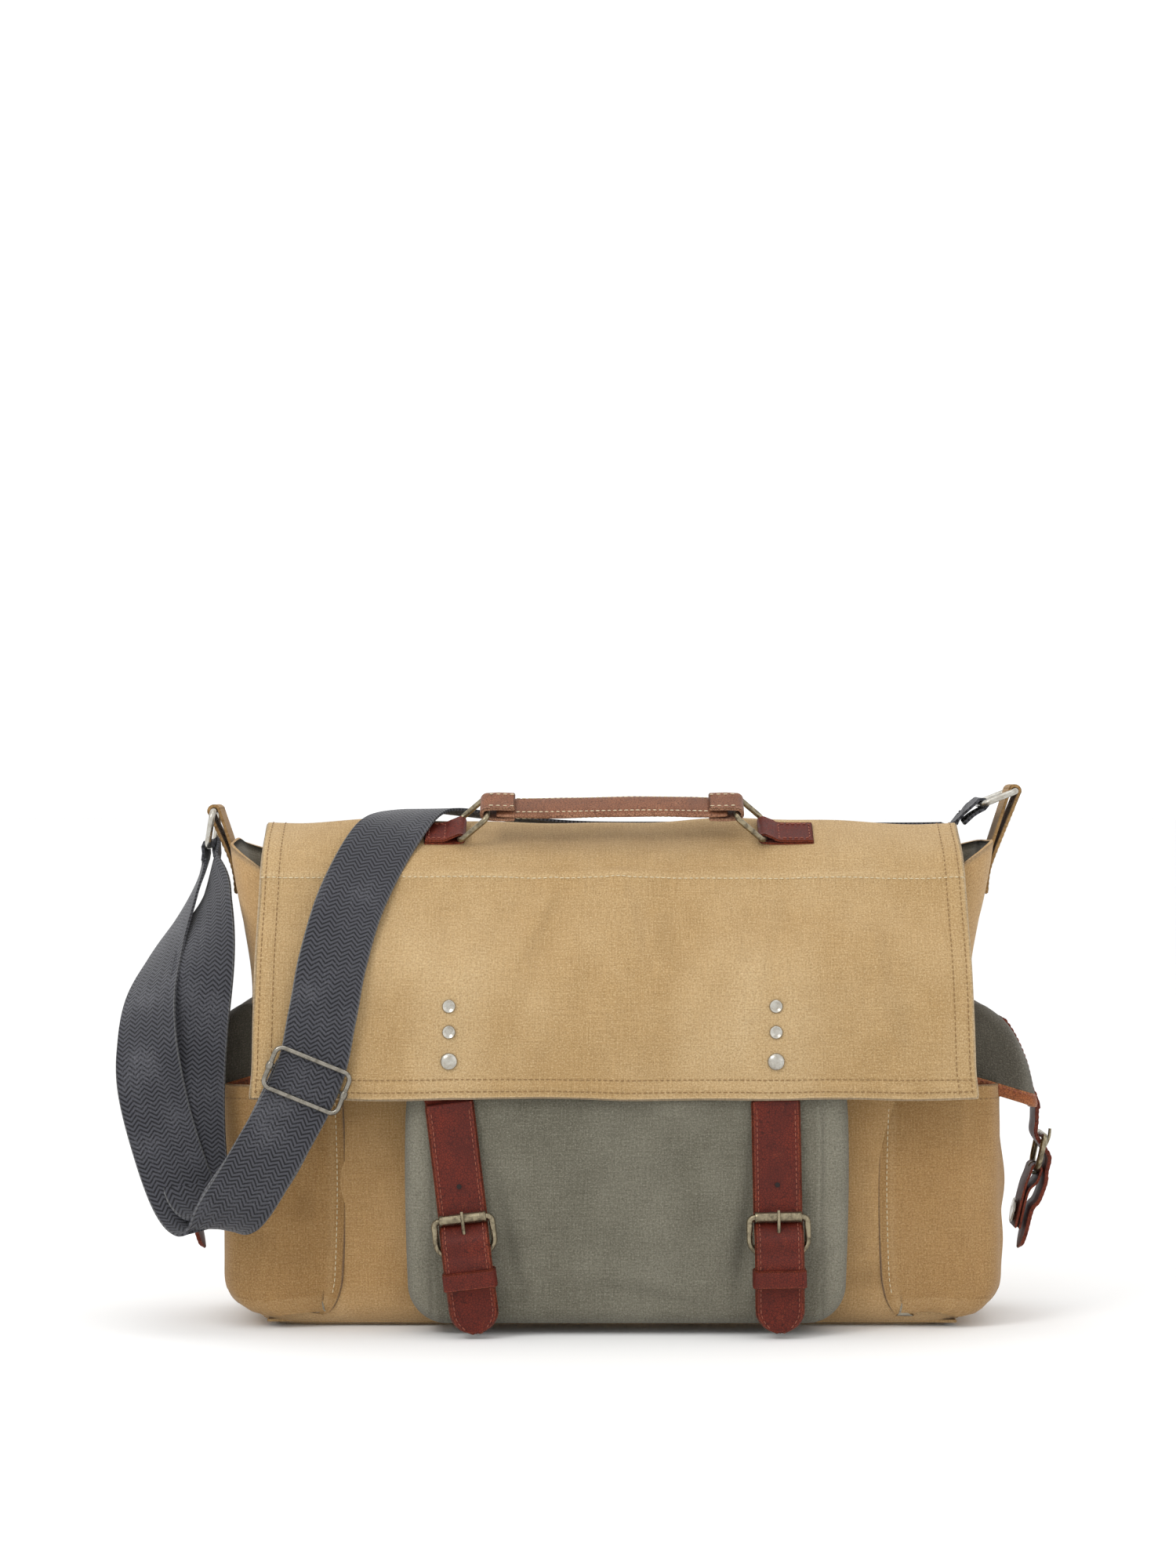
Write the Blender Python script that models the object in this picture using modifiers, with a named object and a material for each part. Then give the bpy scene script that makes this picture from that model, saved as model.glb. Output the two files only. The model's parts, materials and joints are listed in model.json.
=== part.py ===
"""Canvas satchel bag: flap, pockets, buckled straps, top handle and shoulder strap.

Frame: X across the bag, -Y is the front, +Z up.  The bag stands on z = 0 and the
origin is the middle of its base.  All lengths are metres.
"""
import math

import bmesh
import bpy
import numpy as np
from mathutils import Matrix, Vector

# ---- driving dimensions -------------------------------------------------------
BODY_WIDTH = 0.4000          # canvas body without the side pockets
BODY_DEPTH = 0.1200
FRONT_HEIGHT = 0.2500
BACK_HEIGHT = 0.2605
CANVAS = 0.0025              # two layers of canvas with their seam allowance
GAP = 0.0003                 # between touching pieces
BASE_RADIUS = 0.0190
WAIST_HEIGHT = 0.1900        # where the gussets start to flare outwards
FLARE_OUT = 0.0130

FLAP_INSET = 0.0040          # the flap stops this far inside each side of the body
FLAP_WIDTH = BODY_WIDTH - 2 * FLAP_INSET
FLAP_THICK = 0.0024
FLAP_EDGE_Z = 0.1300
FLAP_FRONT_Z = 0.1900
CROWN_Z = 0.2785
SLOPE_ANGLE = math.radians(30.0)
SLOPE_LENGTH = 0.0280

FRONT_POCKET_WIDTH = 0.2380
FRONT_POCKET_SHIFT = 0.0080    # the pocket is sewn on a little to the right of the middle
FRONT_POCKET_TOP = 0.1780
FRONT_POCKET_DEPTH = 0.0292
POCKET_WALL = 0.0020
POCKET_BASE_Z = 0.0060
POCKET_CORNER = 0.0120

SIDE_POCKET_OUT = 0.0165     # how far the side pocket stands off the gusset
SIDE_POCKET_TOP = 0.1340
SIDE_POCKET_BASE_Z = 0.0110
SIDE_POCKET_SEAM_X = 0.1500
SIDE_POCKET_REAR_Y = 0.0500
SIDE_POCKET_FRONT = 0.0045
SIDE_POCKET_CORNER = 0.0140

HOOD_TOP_Z = 0.1780
HOOD_OUT = 0.0370            # outer face of the hood from the gusset
HOOD_EDGE_Z = 0.1220
HOOD_WIDTH = 0.1000
HOOD_WALL = 0.0020
BINDING_RADIUS = 0.0018

STRAP_WIDTH = 0.0250
STRAP_THICK = 0.0020
CHAPE_THICK = 0.0012
BUCKLE_WIDTH = 0.0350
BUCKLE_HEIGHT = 0.0230
BUCKLE_WIRE = 0.00175        # radius
ROLLER_RADIUS = 0.0030
ROLLER_END = 0.0010          # from the roller's end to the buckle's side bar
PRONG_RADIUS = 0.0008
PLAY = 0.0003                # running clearance on the buckle bars
PRONG_HOLE = 0.0022          # half width of the hole in the strap
BUCKLE_STAND = 0.0078        # bars of the buckle in front of the strap's plane
CHAPE_LENGTH = 0.0340
KEEPER_HEIGHT = 0.0090
SNAP_RADIUS = 0.0070
SNAP_DROP = 0.0260

FRONT_STRAP_X = 0.0890
FRONT_BUCKLE_DROP = 0.0820
FRONT_TAIL = 0.0430
FRONT_LEAN = {"left": math.radians(-7.0), "right": math.radians(-1.0)}
SIDE_BUCKLE_DROP = 0.0380
SIDE_TAIL = 0.0460
SIDE_HANG = math.radians(12.0)

RIVET_HEIGHTS = (("upper", 0.1800, 0.0038), ("middle", 0.1660, 0.0038), ("lower", 0.1500, 0.0048))
RIVET_THICK = 0.0016

HANDLE_WIDTH = 0.0190
HANDLE_THICK = 0.0022
HANDLE_PIVOT_X = 0.0845
HANDLE_RING_RISE = 0.0150
HANDLE_RING_RUN = 0.0155
HANDLE_RING_HALF = 0.0125
HANDLE_WIRE = 0.0016
HANDLE_TAB_LENGTH = 0.0195
HANDLE_TAB_THICK = 0.0016
TAB_PIVOT_RISE = 0.0056

RING_Y = 0.0120
RING_HALF = 0.0208
RING_LENGTH = 0.0200
RING_WIRE = 0.0018
RING_TAB_WIDTH = 0.0300
RING_TAB_THICK = 0.0016
RING_TAB_FOOT_Z = 0.2400
RING_TAB_BEND_Z = 0.2600
RING_OUT = {"left": 0.01475, "right": 0.01825}   # ring loops from the top of the gusset
RING_LOOP_Z = {"left": 0.2855, "right": 0.2970}

WEBBING_WIDTH = 0.0360
WEBBING_THICK = 0.0015
SLIDER_WIDTH = 0.0460
SLIDER_HEIGHT = 0.0260
SLIDER_WIRE = 0.0012

# ---- values that follow from them ---------------------------------------------
FRONT_Y = -BODY_DEPTH / 2
BACK_Y = BODY_DEPTH / 2
GUSSET_X = BODY_WIDTH / 2 - CANVAS / 2
FLAP_BACK_Y = BACK_Y
POCKET_FACE_Y = FRONT_Y - GAP - FRONT_POCKET_DEPTH
STRAP_Y = POCKET_FACE_Y - 0.0035
FLAP_FACE_Y = STRAP_Y - 0.0035
BAR_SPACING = BUCKLE_HEIGHT - 2 * BUCKLE_WIRE
ROLLER_LENGTH = BUCKLE_WIDTH - 4 * BUCKLE_WIRE - 2 * ROLLER_END
GUSSET_TOP_X = GUSSET_X + FLARE_OUT
SLANT = 1.275                # the strap crosses between the buckle's bars at a slant
RING_LOOP = {side: (GUSSET_TOP_X + out, RING_LOOP_Z[side]) for side, out in RING_OUT.items()}


def clearScene():
    for obj in list(bpy.data.objects):
        bpy.data.objects.remove(obj, do_unlink=True)


def makeCollection(name):
    collection = bpy.data.collections.new(name)
    bpy.context.scene.collection.children.link(collection)
    return collection


clearScene()
PARTS = makeCollection("satchel_bag")
CUTTERS = makeCollection("cutters")


# ---- helpers ------------------------------------------------------------------
def makeMaterial(name, colour, roughness, metallic=0.0):
    material = bpy.data.materials.new(name)
    material.use_nodes = True
    shader = material.node_tree.nodes["Principled BSDF"]
    shader.inputs["Base Color"].default_value = (*colour, 1.0)
    shader.inputs["Roughness"].default_value = roughness
    shader.inputs["Metallic"].default_value = metallic
    return material


FINISHES = {
    "tan_canvas": ((0.52, 0.34, 0.15), 0.9, 0.0),
    "grey_canvas": ((0.16, 0.155, 0.13), 0.9, 0.0),
    "oxblood_leather": ((0.16, 0.028, 0.018), 0.5, 0.0),
    "handle_leather": ((0.33, 0.12, 0.06), 0.45, 0.0),
    "binding_leather": ((0.36, 0.09, 0.025), 0.5, 0.0),
    "cotton_webbing": ((0.045, 0.05, 0.06), 0.9, 0.0),
    "antique_brass": ((0.30, 0.26, 0.19), 0.35, 1.0),
    "pewter": ((0.50, 0.49, 0.44), 0.3, 1.0),
}


def finish(obj, slot):
    colour, roughness, metallic = FINISHES[slot]
    obj.data.materials.clear()
    obj.data.materials.append(makeMaterial(obj.name, colour, roughness, metallic))
    return obj


def linkObject(name, data, parent=None):
    obj = bpy.data.objects.new(name, data)
    PARTS.objects.link(obj)
    obj.parent = parent
    return obj


def makeEmpty(name, location, rotation=(0.0, 0.0, 0.0), parent=None):
    empty = linkObject(name, None, parent)
    empty.location = location
    empty.rotation_euler = rotation
    return empty


def polyCurve(name, points, cyclic=False, flat=False):
    curve = bpy.data.curves.new(name, "CURVE")
    curve.dimensions = "2D" if flat else "3D"
    curve.render_resolution_u = 0
    spline = curve.splines.new("POLY")
    spline.points.add(len(points) - 1)
    for target, point in zip(spline.points, points):
        target.co = (*point, 1.0) if len(point) == 3 else (*point, 0.0, 1.0)
    spline.use_cyclic_u = cyclic
    return curve


def upright(axis):
    """Turn a flat curve so that its extrusion runs along axis and its y is up."""
    if axis == "y":
        return Matrix.Rotation(math.radians(90), 4, "X")
    if axis == "x":
        return Matrix(((0, 0, 1, 0), (1, 0, 0, 0), (0, 1, 0, 0), (0, 0, 0, 1)))
    return Matrix.Identity(4)


def toMesh(obj):
    """Replace a curve object by the closed mesh that it evaluates to."""
    depsgraph = bpy.context.evaluated_depsgraph_get()
    mesh = bpy.data.meshes.new_from_object(obj.evaluated_get(depsgraph))
    made = bmesh.new()
    made.from_mesh(mesh)
    bmesh.ops.remove_doubles(made, verts=made.verts, dist=0.000001)
    bmesh.ops.recalc_face_normals(made, faces=made.faces)
    made.to_mesh(mesh)
    made.free()
    name, parent = obj.name, obj.parent
    matrix = obj.matrix_world.copy()
    basis = obj.matrix_local.copy()
    bpy.data.objects.remove(obj, do_unlink=True)
    result = linkObject(name, mesh, parent)
    result.matrix_local = basis if parent else matrix
    return result


def plate(name, outline, low, high, axis, parent=None):
    """A flat outline extruded along axis from low to high."""
    curve = polyCurve(name, outline, cyclic=True, flat=True)
    curve.fill_mode = "BOTH"
    curve.extrude = (high - low) / 2
    obj = linkObject(name, curve, parent)
    middle = (low + high) / 2
    shift = {"x": (middle, 0, 0), "y": (0, middle, 0), "z": (0, 0, middle)}[axis]
    obj.matrix_local = Matrix.Translation(shift) @ upright(axis)
    return toMesh(obj)


def ribbon(name, path, middle, width, thick, axis, parent=None):
    """A strip of leather or canvas: an open path swept along axis, then thickened."""
    curve = polyCurve(name, path, flat=True)
    curve.fill_mode = "NONE"
    curve.extrude = width / 2
    obj = linkObject(name, curve, parent)
    shift = {"x": (middle, 0, 0), "y": (0, middle, 0), "z": (0, 0, middle)}[axis]
    obj.matrix_local = Matrix.Translation(shift) @ upright(axis)
    obj = toMesh(obj)
    solid = obj.modifiers.new("thickness", "SOLIDIFY")
    solid.thickness = thick
    solid.offset = 0.0
    solid.use_even_offset = True
    return obj


def wire(name, points, radius, cyclic=False, parent=None, sides=2):
    curve = polyCurve(name, points, cyclic)
    curve.bevel_depth = radius
    curve.bevel_resolution = sides
    curve.use_fill_caps = not cyclic
    return linkObject(name, curve, parent)


def disc(name, radius, low, high, centre, parent=None, segments=20, bevel=0.0):
    """A round piece whose axis is Y, between y = low and y = high."""
    mesh = bpy.data.meshes.new(name)
    made = bmesh.new()
    bmesh.ops.create_cone(made, cap_ends=True, segments=segments,
                          radius1=radius, radius2=radius, depth=high - low)
    made.to_mesh(mesh)
    made.free()
    obj = linkObject(name, mesh, parent)
    obj.location = (centre[0], (low + high) / 2, centre[1])
    obj.rotation_euler = (math.radians(90), 0, 0)
    mesh.shade_smooth()
    mesh.set_sharp_from_angle(angle=math.radians(40))
    if bevel:
        edge = obj.modifiers.new("edge", "BEVEL")
        edge.width = bevel
        edge.segments = 2
    return obj


def block(name, low, high, parent=None):
    """A box that is only used as a cutter."""
    mesh = bpy.data.meshes.new(name)
    made = bmesh.new()
    bmesh.ops.create_cube(made, size=1.0)
    size = Vector(high) - Vector(low)
    bmesh.ops.scale(made, vec=size, verts=made.verts)
    made.to_mesh(mesh)
    made.free()
    obj = linkObject(name, mesh, parent)
    obj.location = (Vector(low) + Vector(high)) / 2
    return obj


def combine(obj, tool, operation):
    PARTS.objects.unlink(tool)
    CUTTERS.objects.link(tool)
    tool.hide_render = True
    tool.display_type = "WIRE"
    modifier = obj.modifiers.new(operation.lower(), "BOOLEAN")
    modifier.operation = operation
    modifier.object = tool
    modifier.solver = "EXACT"
    return obj


def arc(centre, radius, start, end, steps):
    angles = np.radians(np.linspace(start, end, steps + 1))
    return [(centre[0] + radius * math.cos(a), centre[1] + radius * math.sin(a)) for a in angles]


def roundedRing(width, height, radius, steps=4):
    """Centre line of a rectangular ring, in its own plane, centred on the origin."""
    points = []
    for sx, sy, start in ((1, 1, 0), (-1, 1, 90), (-1, -1, 180), (1, -1, 270)):
        centre = (sx * (width / 2 - radius), sy * (height / 2 - radius))
        points += arc(centre, radius, start, start + 90, steps)
    return points


def mirrored(path, sign):
    return [(sign * x, z) for x, z in path]


# ---- bag body -----------------------------------------------------------------
def bodyContour(offset):
    """Right half of the body's outline in X and Z, from the base's middle to the top."""
    side = GUSSET_X
    radius = BASE_RADIUS - CANVAS / 2
    centre = (side - radius, BASE_RADIUS)
    points = [(0.0, CANVAS / 2 - offset)]
    points += arc(centre, radius + offset, -90, 0, 6)
    points.append((side + offset, WAIST_HEIGHT))
    for share, height in ((0.35, 0.2250), (0.90, 0.2620), (1.0, 0.2680)):
        points.append((side + offset + share * FLARE_OUT, height))
    return points


def panelOutline(top):
    half = [(x, z) for x, z in bodyContour(CANVAS / 2) if z < top - 0.001]
    upper = [(x, z) for x, z in bodyContour(CANVAS / 2) if z >= top - 0.001]
    below = half[-1]
    share = (top - below[1]) / (upper[0][1] - below[1])
    half.append((below[0] + share * (upper[0][0] - below[0]), top))
    return half + [(-x, z) for x, z in reversed(half[1:])]


def makeBody():
    front = plate("front_panel", panelOutline(FRONT_HEIGHT), FRONT_Y, FRONT_Y + CANVAS, "y")
    back = plate("back_panel", panelOutline(BACK_HEIGHT), BACK_Y - CANVAS, BACK_Y, "y")
    inner = BODY_DEPTH - 2 * (CANVAS + GAP)
    contour = bodyContour(0.0)
    split = GUSSET_X - BASE_RADIUS + CANVAS / 2
    base = block("bottom_panel", (-split + GAP, -inner / 2, 0.0), (split - GAP, inner / 2, CANVAS))
    for obj in (front, back, base):
        finish(obj, "tan_canvas")
    for side, sign in (("left", -1), ("right", 1)):
        path = mirrored(contour[1:], sign)
        finish(ribbon(f"side_gusset_{side}", path, 0.0, inner, CANVAS, "y"), "tan_canvas")


def makeFrontPocket():
    half = FRONT_POCKET_WIDTH / 2

    def outline(inset, top):
        reach = half - inset
        corner = max(POCKET_CORNER - inset, 0.001)
        low = POCKET_BASE_Z + inset
        points = arc((reach - corner, low + corner), corner, -90, 0, 4) + [(reach, top)]
        points += [(-x, z) for x, z in reversed(points)]
        return [(x + FRONT_POCKET_SHIFT, z) for x, z in points]

    back = FRONT_Y - GAP
    pocket = plate("front_pocket", outline(0.0, FRONT_POCKET_TOP), POCKET_FACE_Y, back, "y")
    hollow = plate("front_pocket_hollow", outline(POCKET_WALL, FRONT_POCKET_TOP + 0.02),
                   POCKET_FACE_Y + POCKET_WALL, back + 0.01, "y")
    finish(combine(pocket, hollow, "DIFFERENCE"), "grey_canvas")


def sidePocketOutline(inset):
    """Plan of the right side pocket, wrapping the bag's front corner."""
    out = GUSSET_X + CANVAS / 2 + SIDE_POCKET_OUT - inset
    front = FRONT_Y - GAP - SIDE_POCKET_FRONT + inset
    rear = SIDE_POCKET_REAR_Y - inset
    radius = SIDE_POCKET_CORNER - inset
    wall = GUSSET_X + CANVAS / 2 + GAP
    start = SIDE_POCKET_SEAM_X + inset
    points = [(start, FRONT_Y - GAP), (start, front)]
    points += arc((out - radius, front + radius), radius, -90, 0, 5)
    points += arc((out - 0.008 + inset, rear - 0.008 + inset), 0.008 - inset, 0, 90, 3)
    points.append((wall, rear))
    if inset:
        points += [(wall - 0.02, rear), (wall - 0.02, FRONT_Y + 0.02), (start, FRONT_Y + 0.02)]
    else:
        points.append((wall, FRONT_Y - GAP))
    return points


def makeSidePockets():
    for side, sign in (("left", -1), ("right", 1)):
        low, top = SIDE_POCKET_BASE_Z, SIDE_POCKET_TOP
        pocket = plate(f"side_pocket_{side}", mirrored(sidePocketOutline(0.0), sign), low, top, "z")
        hollow = plate(f"side_pocket_hollow_{side}", mirrored(sidePocketOutline(POCKET_WALL), sign),
                       low + POCKET_WALL, top + 0.02, "z")
        finish(combine(pocket, hollow, "DIFFERENCE"), "tan_canvas")


def makeSideHoods():
    """Boxed flap over each side pocket, with its leather binding; hinged along its top."""
    wall = GUSSET_X + CANVAS / 2 + GAP
    reach = HOOD_OUT - GAP
    step = SIDE_POCKET_OUT + 0.0015
    hoods = {}
    for side, sign in (("left", -1), ("right", 1)):
        hinge = makeEmpty(f"side_flap_hinge_{side}", (sign * wall, 0.0, HOOD_TOP_Z))
        drop = HOOD_TOP_Z - HOOD_EDGE_Z
        clear = HOOD_TOP_Z - SIDE_POCKET_TOP - 0.0025
        outer = [(0.0, 0.0), (0.0075, -0.001), (0.0205, -0.011), (reach, -0.047),
                 (reach, -drop), (step, -drop), (step, -clear), (0.0, -clear)]
        inner = [(-0.01, -0.0035), (0.0070, -0.0030), (0.0190, -0.0125), (reach - HOOD_WALL, -0.0475),
                 (reach - HOOD_WALL, -drop - 0.01), (-0.01, -drop - 0.01)]
        half = HOOD_WIDTH / 2
        hood = plate(f"side_pocket_flap_{side}", mirrored(outer, sign), -half, half, "y", hinge)
        hollow = plate(f"side_flap_hollow_{side}", mirrored(inner, sign),
                       -half + HOOD_WALL, half - HOOD_WALL, "y", hinge)
        finish(combine(hood, hollow, "DIFFERENCE"), "grey_canvas")
        level = -drop - BINDING_RADIUS - GAP
        far = sign * (reach - BINDING_RADIUS + 0.0005)
        near = sign * (step + BINDING_RADIUS)
        side_y = half - 0.001
        path = [(near, -side_y, level), (far, -side_y, level), (far, side_y, level), (near, side_y, level)]
        finish(wire(f"side_flap_binding_{side}", path, BINDING_RADIUS, parent=hinge), "binding_leather")
        hoods[side] = hinge
    return hoods


# ---- main flap ----------------------------------------------------------------
def slopeFrame():
    """Middle of the sloping strip along the flap's top, where the handle is sewn."""
    crest_y = FRONT_Y + 0.0280
    crest_z = CROWN_Z - 0.0010
    run = SLOPE_LENGTH * math.cos(SLOPE_ANGLE)
    rise = SLOPE_LENGTH * math.sin(SLOPE_ANGLE)
    return (crest_y, crest_z), (crest_y - run, crest_z - rise)


def flapProfile():
    crest, foot = slopeFrame()
    return [
        (FLAP_BACK_Y, BACK_HEIGHT + 0.0032), (BACK_Y - 0.0300, CROWN_Z - 0.0080),
        (BACK_Y - 0.0600, CROWN_Z - 0.0038), (FRONT_Y + 0.0350, CROWN_Z), crest, foot,
        (FRONT_Y - 0.0080, FRONT_HEIGHT), (FRONT_Y - 0.0190, FRONT_HEIGHT - 0.0240),
        (FLAP_FACE_Y + 0.0065, FLAP_FRONT_Z + 0.0150), (FLAP_FACE_Y, FLAP_FRONT_Z),
        (FLAP_FACE_Y, FLAP_EDGE_Z),
    ]


def makeFlap():
    hinge = makeEmpty("flap_hinge", (0.0, FLAP_BACK_Y, BACK_HEIGHT + 0.0020))
    path = [(y - FLAP_BACK_Y, z - BACK_HEIGHT - 0.0020) for y, z in flapProfile()]
    finish(ribbon("main_flap", path, 0.0, FLAP_WIDTH, FLAP_THICK, "x", hinge), "tan_canvas")
    face = FLAP_FACE_Y - FLAP_THICK / 2 - GAP
    for side, sign in (("left", -1), ("right", 1)):
        for level, height, radius in RIVET_HEIGHTS:
            rivet = disc(f"rivet_{side}_{level}", radius, face - RIVET_THICK, face,
                         (sign * FRONT_STRAP_X, height), segments=18, bevel=0.0006)
            finish(rivet, "pewter")
    return hinge


# ---- top handle ---------------------------------------------------------------
def makeHandle():
    crest, foot = slopeFrame()
    middle = ((crest[0] + foot[0]) / 2, (crest[1] + foot[1]) / 2)
    frame = makeEmpty("handle_frame", (0.0, *middle), (SLOPE_ANGLE, 0.0, 0.0))
    rise = TAB_PIVOT_RISE + HANDLE_RING_RISE
    far = HANDLE_PIVOT_X - HANDLE_RING_RUN
    loop = HANDLE_WIRE + PLAY + 0.0002 + HANDLE_TAB_THICK / 2
    base = FLAP_THICK / 2 + GAP + HANDLE_TAB_THICK / 2
    for side, sign in (("left", -1), ("right", 1)):
        pivot = sign * HANDLE_PIVOT_X
        ring_hinge = makeEmpty(f"handle_ring_hinge_{side}", (pivot, 0.0, TAB_PIVOT_RISE), parent=frame)
        tail = HANDLE_PIVOT_X + HANDLE_TAB_LENGTH
        path = [(tail, base), (HANDLE_PIVOT_X + 0.0030, base + 0.0002)]
        path += reversed(arc((HANDLE_PIVOT_X, TAB_PIVOT_RISE), loop, 45, 285, 8))
        path += [(HANDLE_PIVOT_X + 0.0048, base + 0.0034), (HANDLE_PIVOT_X + 0.0085, base + 0.0020)]
        path += [(tail, base + 0.0020)]
        tab = ribbon(f"handle_tab_{side}", mirrored(path, sign), 0.0, HANDLE_WIDTH,
                     HANDLE_TAB_THICK, "y", frame)
        finish(tab, "oxblood_leather")
        length = math.hypot(HANDLE_RING_RISE, HANDLE_RING_RUN)
        lean = math.atan2(HANDLE_RING_RISE, HANDLE_RING_RUN)
        points = []
        for along, across in roundedRing(length, 2 * HANDLE_RING_HALF, 0.0030, 3):
            along += length / 2
            points.append((-sign * along * math.cos(lean), across, along * math.sin(lean)))
        ring = wire(f"handle_ring_{side}", points, HANDLE_WIRE, cyclic=True, parent=ring_hinge)
        finish(ring, "antique_brass")
    grip = HANDLE_WIRE + PLAY + 0.0004 + HANDLE_THICK / 2
    half = [(far - 0.0150, rise - grip + 0.0002), (far - 0.0030, rise - grip + 0.0001)]
    half += arc((far, rise), grip, -75, 105, 9)
    half += [(far - 0.0090, rise + grip - 0.0006), (far - 0.0250, rise + grip - 0.0012)]
    path = half + [(-u, n) for u, n in reversed(half)]
    handle = ribbon("handle", path, 0.0, HANDLE_WIDTH, HANDLE_THICK, "y", frame)
    finish(handle, "handle_leather")


# ---- buckled leather straps ---------------------------------------------------
def strapUnit(label, hinge, drop, tail, with_roller):
    """One strap with its buckle, in the hinge's frame: x across, -y outwards, z up."""
    def local(points):
        return [(y, z - drop) for y, z in points]

    across = -BUCKLE_STAND
    loop = BUCKLE_WIRE + PLAY + CHAPE_THICK / 2
    over = across - SLANT * (BUCKLE_WIRE + PLAY + CHAPE_THICK + STRAP_THICK / 2 + GAP)
    behind = across + ROLLER_RADIUS + STRAP_THICK / 2 + 2 * GAP
    path = local([(0.0, drop), (behind + 0.0012, BAR_SPACING + 0.0075), (behind, BAR_SPACING - 0.0050),
                  (over, 0.0), (over - 0.0006, -0.0080), (across - 0.0040, -0.0180),
                  (across - 0.0017, -0.0240), (across - 0.0007, -tail)])
    strap = ribbon(f"{label}_strap", path, 0.0, STRAP_WIDTH, STRAP_THICK, "x", hinge)
    hole = block(f"{label}_hole", (-PRONG_HOLE, -0.0200, 0.0010 - drop),
                 (PRONG_HOLE, 0.0020, 0.0110 - drop), hinge)
    finish(combine(strap, hole, "DIFFERENCE"), "oxblood_leather")

    ring = roundedRing(BUCKLE_WIDTH - 2 * BUCKLE_WIRE, BAR_SPACING, 0.0035, 3)
    points = [(x, across, z + BAR_SPACING / 2 - drop) for x, z in ring]
    frame = wire(f"{label}_buckle", points, BUCKLE_WIRE, cyclic=True, parent=hinge)
    finish(frame, "antique_brass")

    if with_roller:
        makeRoller(label, hinge, (0.0, across, BAR_SPACING - drop))

    pivot = makeEmpty(f"{label}_prong_pivot", (0.0, across, -drop), parent=hinge)
    eye = BUCKLE_WIRE + PLAY + PRONG_RADIUS
    tip = BAR_SPACING + 0.0045
    rest = -ROLLER_RADIUS - PRONG_RADIUS - 0.0006
    loop_points = [(0.0, y, z) for y, z in arc((0.0, 0.0), eye, 0, 330, 11)]
    prong = wire(f"{label}_prong", loop_points, PRONG_RADIUS, cyclic=True, parent=pivot, sides=1)
    pin = wire(f"{label}_prong_pin", [(0.0, -0.0012, 0.0027), (0.0, -0.0034, 0.0100),
                                      (0.0, rest, BAR_SPACING), (0.0, rest, tip)],
               PRONG_RADIUS, parent=pivot, sides=1)
    finish(combine(toMesh(prong), toMesh(pin), "UNION"), "antique_brass")

    path = [(-0.0030, -CHAPE_LENGTH), (-0.0036, -0.0120)]
    path += arc((across, 0.0), loop, 0, 180, 7)
    path += [(-0.0085, -0.0100), (-0.0055, -0.0140), (-0.0052, -CHAPE_LENGTH)]
    chape = ribbon(f"{label}_chape", local(path), 0.0, STRAP_WIDTH, CHAPE_THICK, "x", hinge)
    slot = block(f"{label}_slot", (-PRONG_HOLE, -0.0200, -0.0045 - drop),
                 (PRONG_HOLE, 0.0, 0.0100 - drop), hinge)
    finish(combine(chape, slot, "DIFFERENCE"), "oxblood_leather")

    if with_roller:
        makeKeeper(label, hinge, drop)
    stud = disc(f"{label}_snap_stud", SNAP_RADIUS, -0.0021, -0.0002, (0.0, -SNAP_DROP - drop),
                hinge, bevel=0.0004)
    finish(stud, "pewter")


def makeRoller(label, hinge, centre):
    """A tube turned about its own X axis on the buckle's top bar."""
    bore = BUCKLE_WIRE + PLAY
    half = ROLLER_LENGTH / 2
    profile = [(ROLLER_RADIUS, 0.0, half), (ROLLER_RADIUS, 0.0, -half), (bore, 0.0, -half), (bore, 0.0, half)]
    mesh = bpy.data.meshes.new(f"{label}_roller")
    mesh.from_pydata(profile, [(0, 1), (1, 2), (2, 3), (3, 0)], [])
    obj = linkObject(f"{label}_roller", mesh, hinge)
    obj.location = centre
    obj.rotation_euler = (0.0, math.radians(90), 0.0)
    screw = obj.modifiers.new("turned", "SCREW")
    screw.steps = 20
    screw.render_steps = 20
    screw.use_merge_vertices = True
    screw.merge_threshold = 0.00001
    finish(obj, "antique_brass")


def makeKeeper(label, hinge, drop):
    half = STRAP_WIDTH / 2 + 0.0011
    front, rear = -0.0169, -0.0018
    points = [(half, rear), (half, front), (-half, front), (-half, rear)]
    low = -0.0185 - drop
    outer = [(x + math.copysign(0.0007, x), y + (0.0007 if y == rear else -0.0007)) for x, y in points]
    inner = [(x - math.copysign(0.0007, x), y - (0.0007 if y == rear else -0.0007)) for x, y in points]
    keeper = plate(f"{label}_keeper", outer, low, low + KEEPER_HEIGHT, "z", hinge)
    window = plate(f"{label}_keeper_window", inner, low - 0.01, low + 0.02, "z", hinge)
    finish(combine(keeper, window, "DIFFERENCE"), "oxblood_leather")


def makeFrontStraps():
    for side, sign in (("left", -1), ("right", 1)):
        tilt = STRAP_WIDTH / 2 * abs(math.sin(FRONT_LEAN[side]))
        start = FLAP_EDGE_Z - 0.0015 - tilt
        place = (sign * FRONT_STRAP_X, STRAP_Y, start)
        hinge = makeEmpty(f"front_strap_hinge_{side}", place, (0.0, FRONT_LEAN[side], 0.0))
        strapUnit(f"front_{side}", hinge, FRONT_BUCKLE_DROP, FRONT_TAIL, True)
        depth = STRAP_Y - POCKET_FACE_Y
        socket = disc(f"front_{side}_snap_socket", SNAP_RADIUS, 0.0001, -depth - GAP,
                      (0.0, -SNAP_DROP - FRONT_BUCKLE_DROP), hinge, bevel=0.0004)
        finish(socket, "pewter")


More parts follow.
